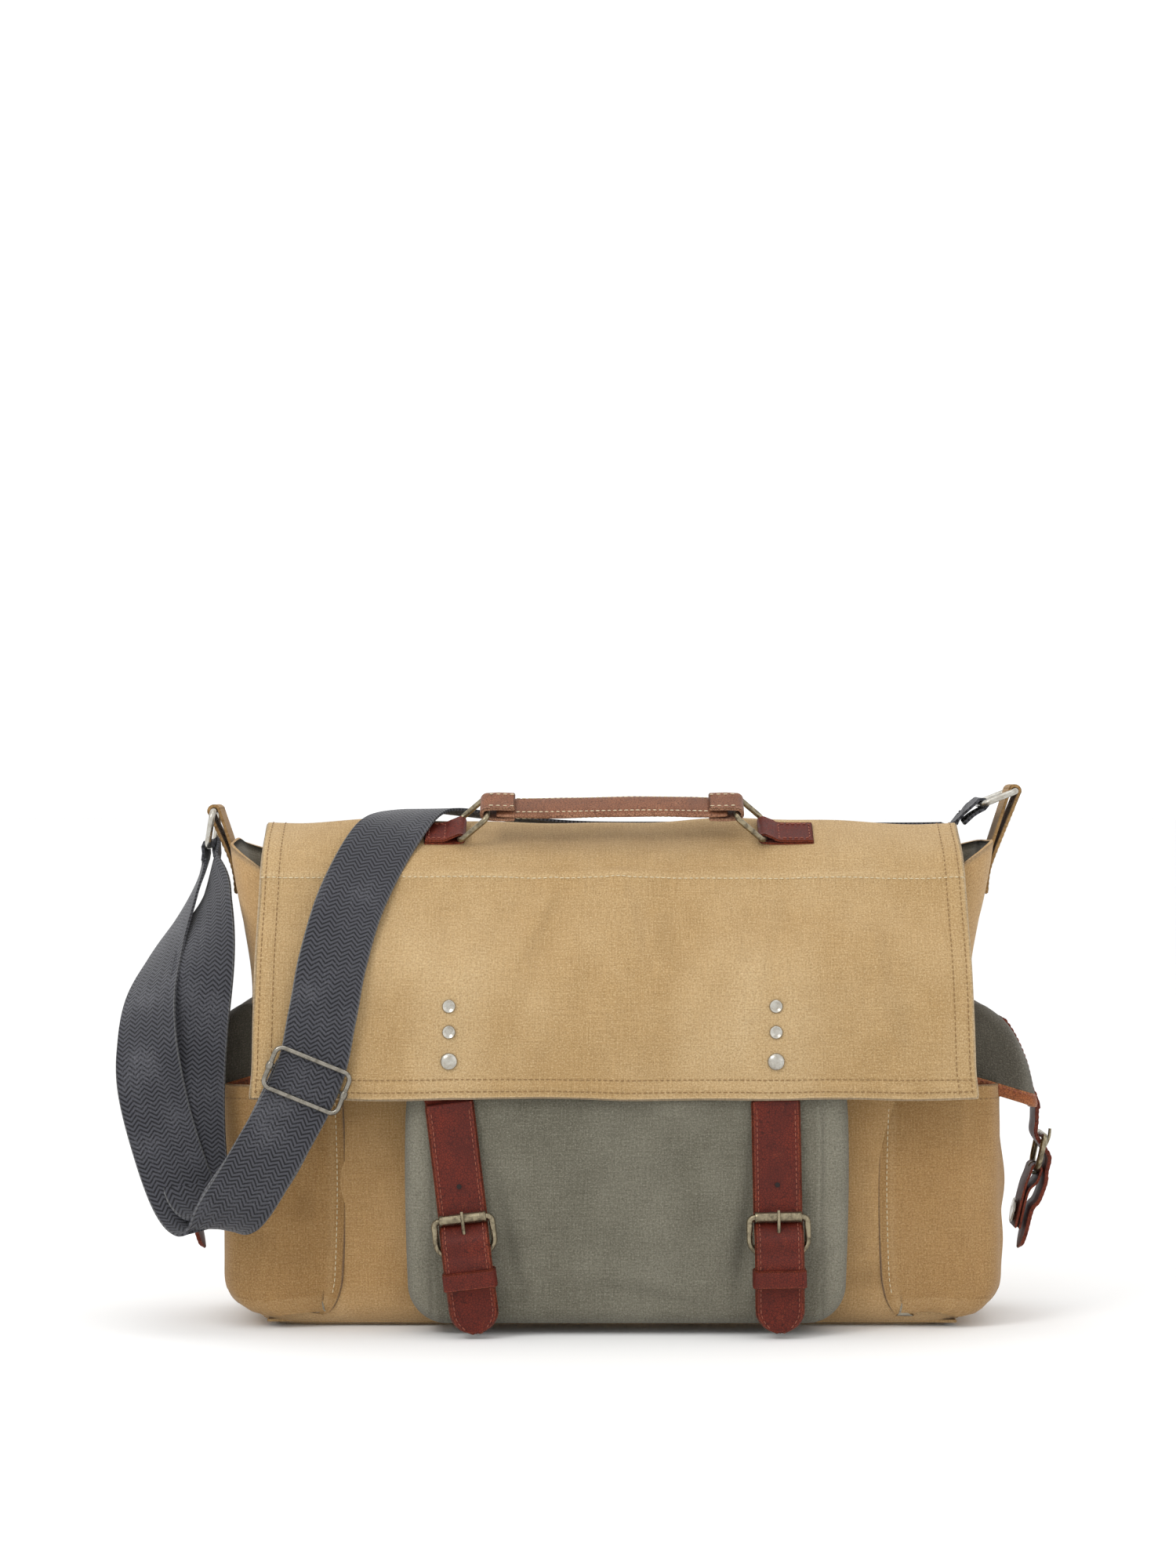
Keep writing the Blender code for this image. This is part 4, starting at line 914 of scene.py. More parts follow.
def metalPiece(name, data, finish, body, slotName, *nodes):
    obj = makeMesh(name, data[0], data[1], finish)
    fixNormals(obj)
    obj.data.set_sharp_from_angle(angle=math.radians(50))
    return adopt(obj, body, slotName, *nodes)


def ringPath(width, height, radii, steps=8):
    # rectangular ring round the origin, corner radii given from the upper right, turning left
    points = []
    for (sx, sy, start), r in zip(((1, 1, 0), (-1, 1, 90), (-1, -1, 180), (1, -1, 270)), radii):
        points += bend((sx * (width / 2 - r), sy * (height / 2 - r)), r, (start, start + 90), steps)
    return points


# buckled straps: everything is placed in the strap's own frame, x across, -y outwards, z up
strapValues = {
    "width": 0.0250, "thick": 0.0021, "chapeThick": 0.0013, "buckleWidth": 0.0350, "buckleHeight": 0.0230,
    "wire": 0.00175, "rollerRadius": 0.0030, "stand": 0.0078, "frontDrop": 0.0820, "frontTail": 0.0430,
    "sideDrop": 0.0380, "sideTail": 0.0460, "stitchInset": 0.0021, "gap": 0.0003, "prongWire": 0.0009,
    "rollerHalf": 0.0128, "holeRow": 38, "holeRadius": 0.0014, "keeperWidth": 0.0088, "keeperThick": 0.0015,
    "sideHang": 12,         # degrees that a side strap leans with its hood
}
stitchRuns = {}          # (body, thread) to lists of stitch lines


def addStitches(body, thread, points):
    stitchRuns.setdefault((body, thread), []).append(np.asarray(points, float))


def jointFrame(name):
    joint = next(j for j in frame["joints"] if j["name"] == name)
    x = -np.array(joint["axis"], float)
    return np.array(joint["pos_m"], float), x / np.linalg.norm(x)


def strapUnit(label, body, prongBody, rollerBody, origin, axes, drop, tail):
    s = strapValues
    node = nodeLabel[label]
    basis = np.array(axes)                       # rows are the local x, y and z directions

    def world(pts):
        return np.asarray(origin) + np.asarray(pts, float) @ basis

    bar = s["buckleHeight"] - 2 * s["wire"]
    across = -s["stand"]
    over, behind = across - 0.0058, across + s["rollerRadius"] + 0.0016
    path = [(0.0, drop), (-0.0004, (drop + bar) * 0.62), (behind + 0.0012, bar + 0.0075),
            (behind, bar - 0.0002), (across - 0.0014, bar - 0.0064), (over, bar - 0.0115),
            (over - 0.0002, 0.0), (over - 0.0010, -0.0065), (across - 0.0050, -0.0170),
            (across - 0.0018, -0.0240), (across - 0.0007, -tail)]
    path = evenly(smooth([(0.0, y, z - drop) for y, z in path], 12), 110)
    curl = 0.0005 * np.sin(np.linspace(0, 9, len(path)))
    path[:, 1] -= curl * np.linspace(0, 1, len(path))
    placed = world(path)
    wide = np.tile(basis[0], (len(path), 1))
    strap, surface = strip(f"{label}Strap", placed, wide, s["width"], s["thick"], oxblood, -0.0004,
                           across=13, tip=0.0125)
    adopt(strap, body, "oxblood_leather", f"{node}_strap")
    run = surface.run
    direction = -1 if np.dot(surface.normals[20, 6], basis[1]) > 0 else 1
    for sign in (-1, 1):
        v = np.linspace(0.006, run[-1] - 0.0035, 260)
        reach = np.interp(v, run, surface.half) - s["stitchInset"]
        i = np.interp(v, run, np.arange(len(run)))
        place = np.stack([np.interp(v, run, placed[:, k]) for k in range(3)], axis=1)
        n = surface.normals[i.astype(int), 6] * direction
        addStitches(body, "rust", place + n * (s["thick"] / 2 + 0.00015) + (sign * reach)[:, None] * basis[0])
    # painted shade: a near-black disc on the strap stands in for its punched hole
    _, holeY, holeZ = path[s["holeRow"]]
    hole = world([(0.0, holeY - s["thick"] / 2 - 0.00035, holeZ)])[0]
    disc = turnedData([(s["holeRadius"], -0.0002), (s["holeRadius"], 0.0001)], hole, -basis[1], 20)
    metalPiece(f"{label}Hole", disc, holeShadeDisc, body, "oxblood_leather")

    ring = ringPath(s["buckleWidth"] - 2 * s["wire"], bar, (0.0030, 0.0030, 0.0075, 0.0075))
    ring = world([(x, across - 0.0006 * math.cos(x * 90), z + bar / 2 - drop) for x, z in ring])
    metalPiece(f"{label}Buckle", tubeData(ring, s["wire"], True), brass, body, "antique_brass",
               f"{node}_buckle")
    if rollerBody:
        r, h = s["rollerRadius"], s["rollerHalf"]
        profile = [(0.0021, -h), (r - 0.0004, -h), (r, -h + 0.0004), (r - 0.0001, -h + 0.002),
                   (r - 0.0001, h - 0.002), (r, h - 0.0004), (r - 0.0004, h), (0.0021, h)]
        data = turnedData(profile, world([(0, across, bar - drop)])[0], basis[0])
        metalPiece(f"{label}Roller", data, brass, rollerBody, "antique_brass", f"{node}_roller")
    eye = s["wire"] + s["gap"] + s["prongWire"]
    loop = world([(0.0, across + y, z - drop) for y, z in bend((0, 0), eye, (0, 345), 22)])
    pin = smooth([(-0.0012, 0.0027), (-0.0022, 0.0090), (-0.0040, bar - 0.0040), (-0.0046, bar),
                  (-0.0042, bar + 0.0042)], 6)
    pin = world([(0.0, across + y, z - drop) for y, z in pin])
    taper = np.linspace(0.00120, 0.00085, len(pin))
    data = joinData(tubeData(loop, s["prongWire"], False, 10), tubeData(pin, taper, False, 12))
    metalPiece(f"{label}Prong", data, brass, prongBody, "antique_brass", f"{node}_prong")

    turnRadius = s["wire"] + s["gap"] + s["chapeThick"] / 2
    path = [(-0.0028, -0.0345), (-0.0034, -0.0120), (-0.0046, -0.0040)]
    path += bend((across, 0), turnRadius, (0, 180), 10)
    path += [(across - 0.0016, -0.0070), (-0.0056, -0.0140), (-0.0052, -0.0345)]
    path = evenly(smooth([(0.0, y, z - drop) for y, z in path], 5), 90)
    wide = np.tile(basis[0], (len(path), 1))
    chape, _ = strip(f"{label}Chape", world(path), wide, s["width"] - 0.0002, s["chapeThick"], oxblood)
    adopt(chape, body, "oxblood_leather", f"{node}_chape")

    low = -0.0180 - drop
    half, front, rear = s["width"] / 2 + 0.0013, -0.0168, -0.0016
    if rollerBody:
        band = [(x, y + (front + rear) / 2, low + 0.0045)
                for x, y in ringPath(2 * half, rear - front, (0.0030,) * 4, 6)]
        band = world(band + band[:1])
        wide = np.tile(basis[2], (len(band), 1))
        keeper, _ = strip(f"{label}Keeper", band, wide, s["keeperWidth"], s["keeperThick"], oxblood, across=7)
        adopt(keeper, body, "oxblood_leather", f"{node}_keeper")
    stud = world([(0, -0.0002, -0.0260 - drop)])[0]
    profile = [(0.0069, 0.0), (0.0071, 0.0004), (0.0068, 0.0014), (0.0055, 0.0019), (0.0030, 0.0019),
               (0.0026, 0.0013), (0.0008, 0.0013)]
    metalPiece(f"{label}SnapStud", turnedData(profile, stud, -basis[1]), pewter, body, "pewter",
               f"{node}_snap_stud")


def socketPiece(label, node):
    lo, hi = (np.array(v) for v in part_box(node))
    axis = np.array((0, -1.0, 0)) if label.startswith("front") else np.array((np.sign(lo[0]), 0, 0))
    depth = abs(np.dot(hi - lo, axis))
    base = (lo + hi) / 2 - axis * (depth / 2 - 0.0012)
    profile = [(0.0068, 0.0), (0.0070, 0.0004), (0.0069, depth - 0.0006), (0.0062, depth), (0.0050, depth),
               (0.0046, depth - 0.0007), (0.0028, depth - 0.0007), (0.0022, depth - 0.0002),
               (0.0006, depth - 0.0001)]
    metalPiece(f"{label}SnapSocket", turnedData(profile, base, axis), pewter, "root", "pewter", node)


nodeLabel = {"leftFront": "front_left", "rightFront": "front_right", "leftSide": "side_left",
             "rightSide": "side_right"}
for side, sign in (("left", -1), ("right", 1)):
    place, x = jointFrame(f"front_strap_{side}_hinge")
    y = np.array((0.0, 1.0, 0.0))
    strapUnit(f"{side}Front", f"front_strap_{side}", f"front_prong_{side}", f"front_roller_{side}",
              place, (x, y, np.cross(x, y)), strapValues["frontDrop"], strapValues["frontTail"])
    socketPiece(f"front{side.title()}", f"front_{side}_snap_socket")
    place, x = jointFrame(f"side_strap_{side}_hinge")
    hang = math.radians(strapValues["sideHang"])
    y = np.array((-sign * math.cos(hang), 0.0, math.sin(hang)))
    z = np.array((sign * math.sin(hang), 0.0, math.cos(hang)))
    strapUnit(f"{side}Side", f"side_strap_{side}", f"side_prong_{side}", None, place, (x, y, z),
              strapValues["sideDrop"], strapValues["sideTail"])
    socketPiece(f"side{side.title()}", f"side_{side}_snap_socket")
print("buckled straps made")


# rivets: small faceted caps above, a domed one below
for side in ("left", "right"):
    for level in ("upper", "middle", "lower"):
        node = f"rivet_{side}_{level}"
        lo, hi = (np.array(v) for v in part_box(node))
        centre = (lo + hi) / 2
        # set on the canvas where it really lies
        near = np.argmin(np.hypot(flapSurface.points[:, :, 0] - centre[0],
                                  flapSurface.points[:, :, 2] - centre[2])
                         + (flapSurface.points[:, :, 1] > -0.08))
        centre[1] = flapSurface.points.reshape(-1, 3)[near, 1] - flap["cloth"] / 2 + 0.0003
        r = (hi[0] - lo[0]) / 2
        if level == "lower":
            dome = np.linspace(0.1, 1.45, 9)
            profile = [(r, 0.0), (r, 0.0009)] + [(r * math.cos(a), 0.0009 + 0.0022 * math.sin(a))
                                                 for a in dome]
        else:
            profile = [(r, 0.0), (r, 0.0012), (r * 0.86, 0.0017), (r * 0.70, 0.0015), (r * 0.52, 0.0009),
                       (r * 0.2, 0.0008)]
        data = turnedData(profile, centre, (0, -1, 0), 32)
        metalPiece(f"rivet_{side.title()}_{level}", data, pewter, "flap", "pewter", node)
print("rivets made")


# carrying handle: padded leather grip, two leather loops, brass rings and the tabs sewn to the flap
handleValues = {
    "width": 0.0190, "gripThick": 0.0050, "loopWidth": 0.0165, "loopThick": 0.0019, "loopGap": 0.0007,
    "ringHalf": 0.0125, "ringRun": 0.0155, "ringRise": 0.0150, "wire": 0.0016,
    "pivotX": 0.0845, "pivotRise": 0.0056, "tabThick": 0.0014, "tabGap": 0.0003,
    "tailLeft": 0.1040, "tailRight": 0.1120, "stitchInset": 0.0020,
}
handleOrigin = np.array((0.0, -0.0441, 0.2705))
handleLean = math.radians(30)
handleAxes = np.array(((1, 0, 0), (0, math.cos(handleLean), math.sin(handleLean)),
                       (0, -math.sin(handleLean), math.cos(handleLean))))


def onHandle(points):
    return handleOrigin + np.asarray(points, float) @ handleAxes


def makeHandle():
    h = handleValues
    depth = handleAxes[1]
    farX, farRise = h["pivotX"] - h["ringRun"], h["pivotRise"] + h["ringRise"]
    for side, sign in (("left", -1), ("right", 1)):
        length = math.hypot(h["ringRun"], h["ringRise"])
        e = np.array((-h["ringRun"], h["ringRise"])) / length
        ring = [(sign * (h["pivotX"] + e[0] * (a + length / 2)), b, h["pivotRise"] + e[1] * (a + length / 2))
                for a, b in ringPath(length, 2 * h["ringHalf"], (0.0034,) * 4)]
        metalPiece(f"handleRing_{side}", tubeData(onHandle(ring), h["wire"], True), brass,
                   f"handle_ring_{side}",
                   "antique_brass", f"handle_ring_{side}")
        r = h["wire"] + h["tabGap"] + h["tabThick"] / 2
        tail = h[f"tail{side.title()}"]
        low = h["pivotRise"] - r - 0.0004
        path = [(tail, low), (h["pivotX"] + 0.0080, low - 0.0001), (h["pivotX"] + 0.0030, low)]
        path += bend((h["pivotX"], h["pivotRise"]), r, (250, 75), 12)
        path += [(h["pivotX"] + 0.0052, h["pivotRise"] + 0.0004),
                 (h["pivotX"] + 0.0095, low + h["tabThick"] + 0.0003),
                 (tail - 0.0004, low + h["tabThick"] + 0.0002)]
        path = evenly(smooth([(sign * x, 0.0, z) for x, z in path], 5), 90)
        wide = h["width"]
        tab, _ = strip(f"handleTab_{side}", onHandle(path), np.tile(depth, (len(path), 1)), wide,
                       h["tabThick"], oxblood)
        adopt(tab, "flap", "oxblood_leather", f"handle_tab_{side}")
        top = path[-1, 2] + h["tabThick"] / 2 + 0.0002
        a, b = h["pivotX"] + 0.0085, tail - 0.0020
        box = [(a, -1), (b, -1), (b, 1), (a, 1), (a, -1)]
        box = [(sign * x, y * (wide / 2 - h["stitchInset"]), top) for x, y in box]
        line = np.concatenate([np.linspace(p, q, 12)[:-1] for p, q in zip(box, box[1:])])
        addStitches("flap", "rust", onHandle(line))
        # leather loop of the handle round the ring's far bar
        r = h["wire"] + h["loopGap"] + h["loopThick"] / 2
        path = [(farX - 0.0145, farRise - 0.0034), (farX - 0.0060, farRise - 0.0036)]
        path += bend((farX, farRise), r, (-100, 100), 12)
        path += [(farX - 0.0060, farRise + 0.0035), (farX - 0.0145, farRise + 0.0032)]
        path = evenly(smooth([(sign * x, 0.0, z) for x, z in path], 5), 60)
        loop, _ = strip(f"handleLoop_{side}", onHandle(path), np.tile(depth, (len(path), 1)), h["loopWidth"],
                        h["loopThick"], gripLeather)
        adopt(loop, "handle", "handle_leather")
        top = path[-1, 2] + h["loopThick"] / 2 + 0.0002
        reach = h["loopWidth"] / 2 - h["stitchInset"]
        for y in (-reach, reach):
            line = np.linspace((sign * (farX - 0.0135), y, top), (sign * (farX - 0.0020), y, top + 0.0003), 8)
            addStitches("handle", "cream", onHandle(line))
    # grip: soft rounded section, a little thinner where the loops are sewn on
    end = farX - 0.0050
    u = np.linspace(-end, end, 121)
    turn = np.linspace(0, 2 * math.pi, 40, endpoint=False)
    verts, mark = [], []
    for x in u:
        rim = min((end - abs(x)) / 0.006, 1.0)
        fat = h["gripThick"] / 2 * (0.50 + 0.50 * np.clip((end - abs(x)) / 0.020, 0, 1) ** 0.6)
        half = h["width"] / 2 * (0.90 + 0.10 * math.sqrt(max(rim, 0))) + 0.0003 * math.sin(x * 160)
        sag = farRise + 0.0006 * math.sin(x * 48 + 0.6) - 0.0004
        for t in turn:
            c, s = math.cos(t), math.sin(t)
            a = math.copysign(abs(c) ** 0.55, c)
            b = math.copysign(abs(s) ** 0.80, s)
            dent = 1 - 0.10 * math.exp(-((abs(a) - 0.78) / 0.05) ** 2)
            verts.append((x, half * a, sag + fat * b * dent))
            mark.append(max(0.0, abs(a) - 0.9) * 8)
    faces = tubeFaces(len(u), len(turn))
    grip = makeMesh("handleGrip", onHandle(verts), faces, gripLeather, marks={"edge": np.clip(mark, 0, 1)})
    fixNormals(grip)
    adopt(grip, "handle", "handle_leather", "handle")
    for sign in (-1, 1):
        x = np.linspace(-end + 0.012, end - 0.012, 60)
        for face in (-1, 1):
            rise = farRise + 0.0006 * np.sin(x * 48 + 0.6) - 0.0004 + face * h["gripThick"] / 2 * 0.82
            addStitches("handle", "cream", onHandle(np.column_stack([x, np.full(60, sign * 0.00735), rise])))


makeHandle()
print("handle made")


# strap rings in their canvas tabs
ringValues = {
    "wire": 0.0018, "length": 0.0200, "half": 0.0208, "depth": 0.0120, "tabWidth": 0.0280, "tabThick": 0.0017,
    "gap": 0.0004,          # between a wire and what is folded over it
    # where each tab holds its ring, and which way the ring hangs from there
    "left": ((-0.2265, 0.2855), (-0.15, -0.99)), "right": ((0.2300, 0.2970), (-0.93, -0.37)),
}
ringBars = {}
for side, sign in (("left", -1), ("right", 1)):
    r = ringValues
    (cx, cz), (ax, az) = r[side]
    unit = np.array((ax, az)) / math.hypot(ax, az)
    ring = [(cx + unit[0] * (a + r["length"] / 2), r["depth"] + b, cz + unit[1] * (a + r["length"] / 2))
            for a, b in ringPath(r["length"], 2 * r["half"], (0.0042,) * 4)]
    body = f"strap_ring_{side}"
    metalPiece(f"strapRing_{side}", tubeData(ring, r["wire"], True), pewter, body, "pewter", body)
    ringBars[side] = (cx + unit[0] * r["length"], cz + unit[1] * r["length"])
    turnRadius = r["wire"] + r["gap"] + r["tabThick"] / 2
    x, z = abs(cx), cz
    lean = math.degrees(math.atan2(z - 0.262, x - 0.2165))
    path = [(0.2139, 0.2390), (0.2150, 0.2500), (0.2186, 0.2615)]
    path += bend((x, z), turnRadius, (lean - 90 - 22, lean + 90 + 22), 14)
    path += [(0.2166, 0.2650), (0.2152, 0.2590)]
    path = evenly(smooth([(sign * px, r["depth"], pz) for px, pz in path], 6), 110)
    # the ring tab takes the darker tan copy: painted shade
    tab, tabSurface = strip(f"ringTab_{side}", path, np.tile((0, 1.0, 0), (len(path), 1)), r["tabWidth"],
                            r["tabThick"], tanShaded)
    adopt(tab, "root", "tan_canvas", f"ring_tab_{side}")
    outward = 1 if tabSurface.normals[8, 4][0] * sign > 0 else -1
    for column in (4 - 2.6, 4 + 2.6):
        line = tabSurface.at(np.linspace(2, 46, 60), np.full(60, column),
                             outward * (r["tabThick"] / 2 + 0.0002))
        addStitches("root", "cream", line)
print("strap rings made")


# shoulder webbing: one long run, doubled between the slider and the left ring
webbingValues = {
    "width": 0.0360, "thick": 0.0015,
    "sliderWire": 0.00135, "sliderWidth": 0.0460, "sliderHeight": 0.0260, "sliderTilt": 22.1,
    "sliderPlace": (-0.1656, -0.1035, 0.1406), "sliderGap": 0.0010,
}


def makeWebbing():
    w = webbingValues
    left, right = ringBars["left"], ringBars["right"]
    reach = ringValues["wire"] + ringValues["gap"] + w["thick"] / 2
    depth = ringValues["depth"]
    # each row: a place on the middle line, then the direction of the webbing's width
    run = [(-0.1652, -0.1011, 0.1440, 0.88, 0, -0.47), (-0.1780, -0.1009, 0.1170, 0.88, 0, -0.47),
           (-0.1890, -0.1006, 0.0960, 0.88, 0, -0.47), (-0.2045, -0.0970, 0.0745, 0.88, 0.2, -0.35),
           (-0.2160, -0.0885, 0.0672, 0.85, 0.5, 0), (-0.2275, -0.0790, 0.0800, 0.9, 0.25, 0.3),
           (-0.2310, -0.0730, 0.1010, 0.97, 0.05, 0.2), (-0.2320, -0.0705, 0.1320, 1, 0, 0.05),
           (-0.2300, -0.0680, 0.1650, 0.98, -0.15, 0), (-0.2265, -0.0610, 0.2000, 0.95, -0.3, 0),
           (-0.2265, -0.0350, 0.2290, 0.6, -0.8, 0), (-0.2285, -0.0040, 0.2470, 0.15, -0.99, 0)]
    atSplit = [4, len(run) - 1]
    run += [(left[0] + reach, depth, left[1] - 0.0060, 0, -1, 0)]
    run += [(x, depth, z, 0, -1, 0) for x, z in bend(left, reach, (0, 180), 8)]
    run += [(left[0] - reach, depth, left[1] - 0.0060, 0, -1, 0), (-0.2355, 0.0085, 0.2480, 0.05, -1, 0),
            (-0.2420, -0.0110, 0.2300, 0.25, -0.95, 0.1), (-0.2500, -0.0340, 0.2080, 0.5, -0.82, 0.1)]
    atSplit.append(len(run) - 3)
    run += [(-0.2560, -0.0570, 0.1840, 0.75, -0.6, 0.05), (-0.2565, -0.0695, 0.1600, 0.92, -0.38, 0),
            (-0.2535, -0.0735, 0.1320, 1, 0, 0.05), (-0.2440, -0.0770, 0.0980, 0.97, 0.05, 0.2),
            (-0.2330, -0.0820, 0.0720, 0.9, 0.25, 0.3), (-0.2200, -0.0920, 0.0590, 0.85, 0.5, 0)]
    atSplit.append(len(run) - 1)
    run += [(-0.2060, -0.1010, 0.0700, 0.88, 0.2, -0.35), (-0.1900, -0.1035, 0.0950, 0.88, 0, -0.47),
            (-0.1656, -0.1035, 0.1406, 0.88, 0, -0.47), (-0.1575, -0.1020, 0.1750, 0.95, 0, -0.3),
            (-0.1520, -0.0980, 0.2050, 0.95, 0, -0.3), (-0.1420, -0.0810, 0.2400, 0.95, 0, -0.3),
            (-0.1240, -0.0530, 0.2740, 0.97, -0.1, -0.2), (-0.1050, -0.0220, 0.2860, 0.75, -0.65, 0),
            (-0.0700, 0.0020, 0.2830, 0.4, -0.9, 0.05), (-0.0200, 0.0180, 0.2775, 0.05, -1, 0.1),
            (0.0600, 0.0190, 0.2770, 0, -1, 0.1), (0.1300, 0.0200, 0.2765, 0, -1, 0.1)]
    atSplit.append(len(run) - 1)
    run += [(0.1880, 0.0195, 0.2768, 0, -1, 0.1), (0.1965, 0.0165, 0.2798, 0, -1, 0.05),
            (0.2035, 0.0135, 0.2865, 0, -1, 0)]
    atSplit.append(len(run) - 1)
    run += [(x, depth, z, 0, -1, 0) for x, z in bend(right, reach, (125, -55), 8)]
    run += [(0.2070, 0.0125, 0.2836, 0, -1, 0), (0.2020, 0.0130, 0.2792, 0, -1, 0)]
    points = np.array(run)
    points[:, 3:] *= 0.0008
    fine = smooth(points, 10)
    cuts = [int(np.argmin(np.linalg.norm(fine[:, :3] - points[k, :3], axis=1))) for k in atSplit]
    ends = [0] + cuts + [len(fine) - 1]
    names = ("webbingRise", "webbingInner", "webbingLoopLeft", "webbingOuter", "webbingMain",
             "webbingRight", "webbingLoopRight")
    total = float(np.sum(np.linalg.norm(np.diff(fine[:, :3], axis=0), axis=1)))
    made, lengths = {}, {}
    for name, a, b in zip(names, ends, ends[1:]):
        part = fine[a:b + 1]
        length = np.sum(np.linalg.norm(np.diff(part[:, :3], axis=0), axis=1))
        part = evenly(part, max(12, int(length / 0.0020)))
        made[name], _ = strip(name, part[:, :3], part[:, 3:], w["width"], w["thick"], webbing, across=13)
        lengths[name] = float(length)
    # each lists a first body, a second body and two places; only the names are read, and these pieces are
    # baked in place without a parent
    low, high = tuple(points[atSplit[3], :3]), (left[0], depth, 0.2450)
    blends = {"webbingInner": ("root", "strap", high, low), "webbingOuter": ("root", "strap", high, low),
              "webbingLoopLeft": ("strap_ring_left", "root", (left[0], depth, left[1] - 0.0030),
                                  (left[0], depth, 0.2500)),
              "webbingRight": ("strap", "root", (0.1950, 0.0180, 0.2790), (0.2035, 0.0135, 0.2865)),
              "webbingLoopRight": ("strap_ring_right", "root", (0.2085, depth, 0.2896),
                                   (0.2035, depth, 0.2865))}
    for name, obj in made.items():
        if name in blends:
            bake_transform(obj)
        else:
            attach(obj, "strap")
    for name, node in (("webbingMain", "shoulder_webbing"), ("webbingOuter", "webbing_end_left"),
                       ("webbingRight", "webbing_end_right")):
        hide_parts(node)
    return total


print("webbing made, length", round(makeWebbing(), 4))


def makeSlider():
    w = webbingValues
    tilt = math.radians(w["sliderTilt"])
    axes = np.array(((math.cos(tilt), 0, -math.sin(tilt)), (0, 1, 0), (math.sin(tilt), 0, math.cos(tilt))))

    def world(pts):
        return np.array(w["sliderPlace"]) + np.asarray(pts, float) @ axes

    wire = w["sliderWire"]
    front = -w["thick"] / 2 - wire - w["sliderGap"]
    wide, high = w["sliderWidth"] - 2 * wire, w["sliderHeight"] - 2 * wire
    ring = [(x, front + 0.0004 * math.cos(x * 60), z) for x, z in ringPath(wide, high, (0.0042,) * 4)]
    bar = [(-wide / 2, front, 0), (-wide / 2 + 0.0006, -0.0004, 0), (-wide / 2 + 0.0022, 0.0028, 0),
           (0, 0.0030, 0), (wide / 2 - 0.0022, 0.0028, 0), (wide / 2 - 0.0006, -0.0004, 0),
           (wide / 2, front, 0)]
    data = [tubeData(world(ring), wire, True), tubeData(world(smooth(bar, 8)), wire * 0.74)]
    knob = [(0.0004, -0.0024), (0.0017, -0.0020), (0.0021, -0.0008), (0.0021, 0.0008), (0.0017, 0.0020),
            (0.0004, 0.0024)]
    for sign in (-1, 1):
        data.append(turnedData(knob, world([(sign * wide / 2, front, 0)])[0], axes[2], 18))
    metalPiece("webbingSlider", joinData(*data), gunmetal, "slider", "pewter", "slider")


makeSlider()
print("slider made")


# leather anchors that hold the hanging straps: on the hoods and behind the main flap
anchorValues = {"width": 0.0250, "hoodThick": 0.0018, "flapThick": 0.0020, "lift": 0.0024, "firstRow": 14}
for side, sign in (("left", -1), ("right", 1)):
    surface = hoods[side][0]
    middle = surface.points.shape[0] // 2
    v = anchorValues
    path = (surface.points + surface.normals * v["lift"])[middle, v["firstRow"]:]
    path[-6:] += surface.normals[middle, -6:] * np.linspace(0, 0.0022, 6)[:, None]
    path = np.concatenate([path, [path[-1] + (sign * 0.0004, 0, -0.0030)]])
    path = evenly(smooth(path, 3), 60)
    path[:, 1] = path[:, 1].mean()
    anchor, anchorSurface = strip(f"hoodAnchor_{side}", path, np.tile((0, 1.0, 0), (len(path), 1)),
                                  v["width"],
                                  v["hoodThick"], oxblood, -0.0003)
    adopt(anchor, f"side_flap_{side}", "oxblood_leather")
    outward = 1 if np.dot(anchorSurface.normals[30, 4], surface.normals[middle, 30]) > 0 else -1
    for column in (4 - 3.1, 4 + 3.1):
        line = anchorSurface.at(np.linspace(2, 50, 50), np.full(50, column), outward * 0.0011)
        addStitches(f"side_flap_{side}", "rust", line)
    place, x = jointFrame(f"front_strap_{side}_hinge")
    up = np.cross(x, (0, 1.0, 0))
    path = evenly([place + up * rise for rise in (0.0010, 0.020, 0.044)], 24)
    path[:, 1] = place[1] - 0.0006
    hidden, _ = strip(f"flapAnchor_{side}", path, np.tile(x, (len(path), 1)), v["width"], v["flapThick"],
                      oxblood)
    adopt(hidden, "flap", "oxblood_leather")
print("anchors made")


# stitches: one set of geometry nodes lays a thread loop at each step of the sewing lines
stitchValues = {"pitch": 0.0031, "length": 0.0023, "radius": 0.00030, "seed": 11}


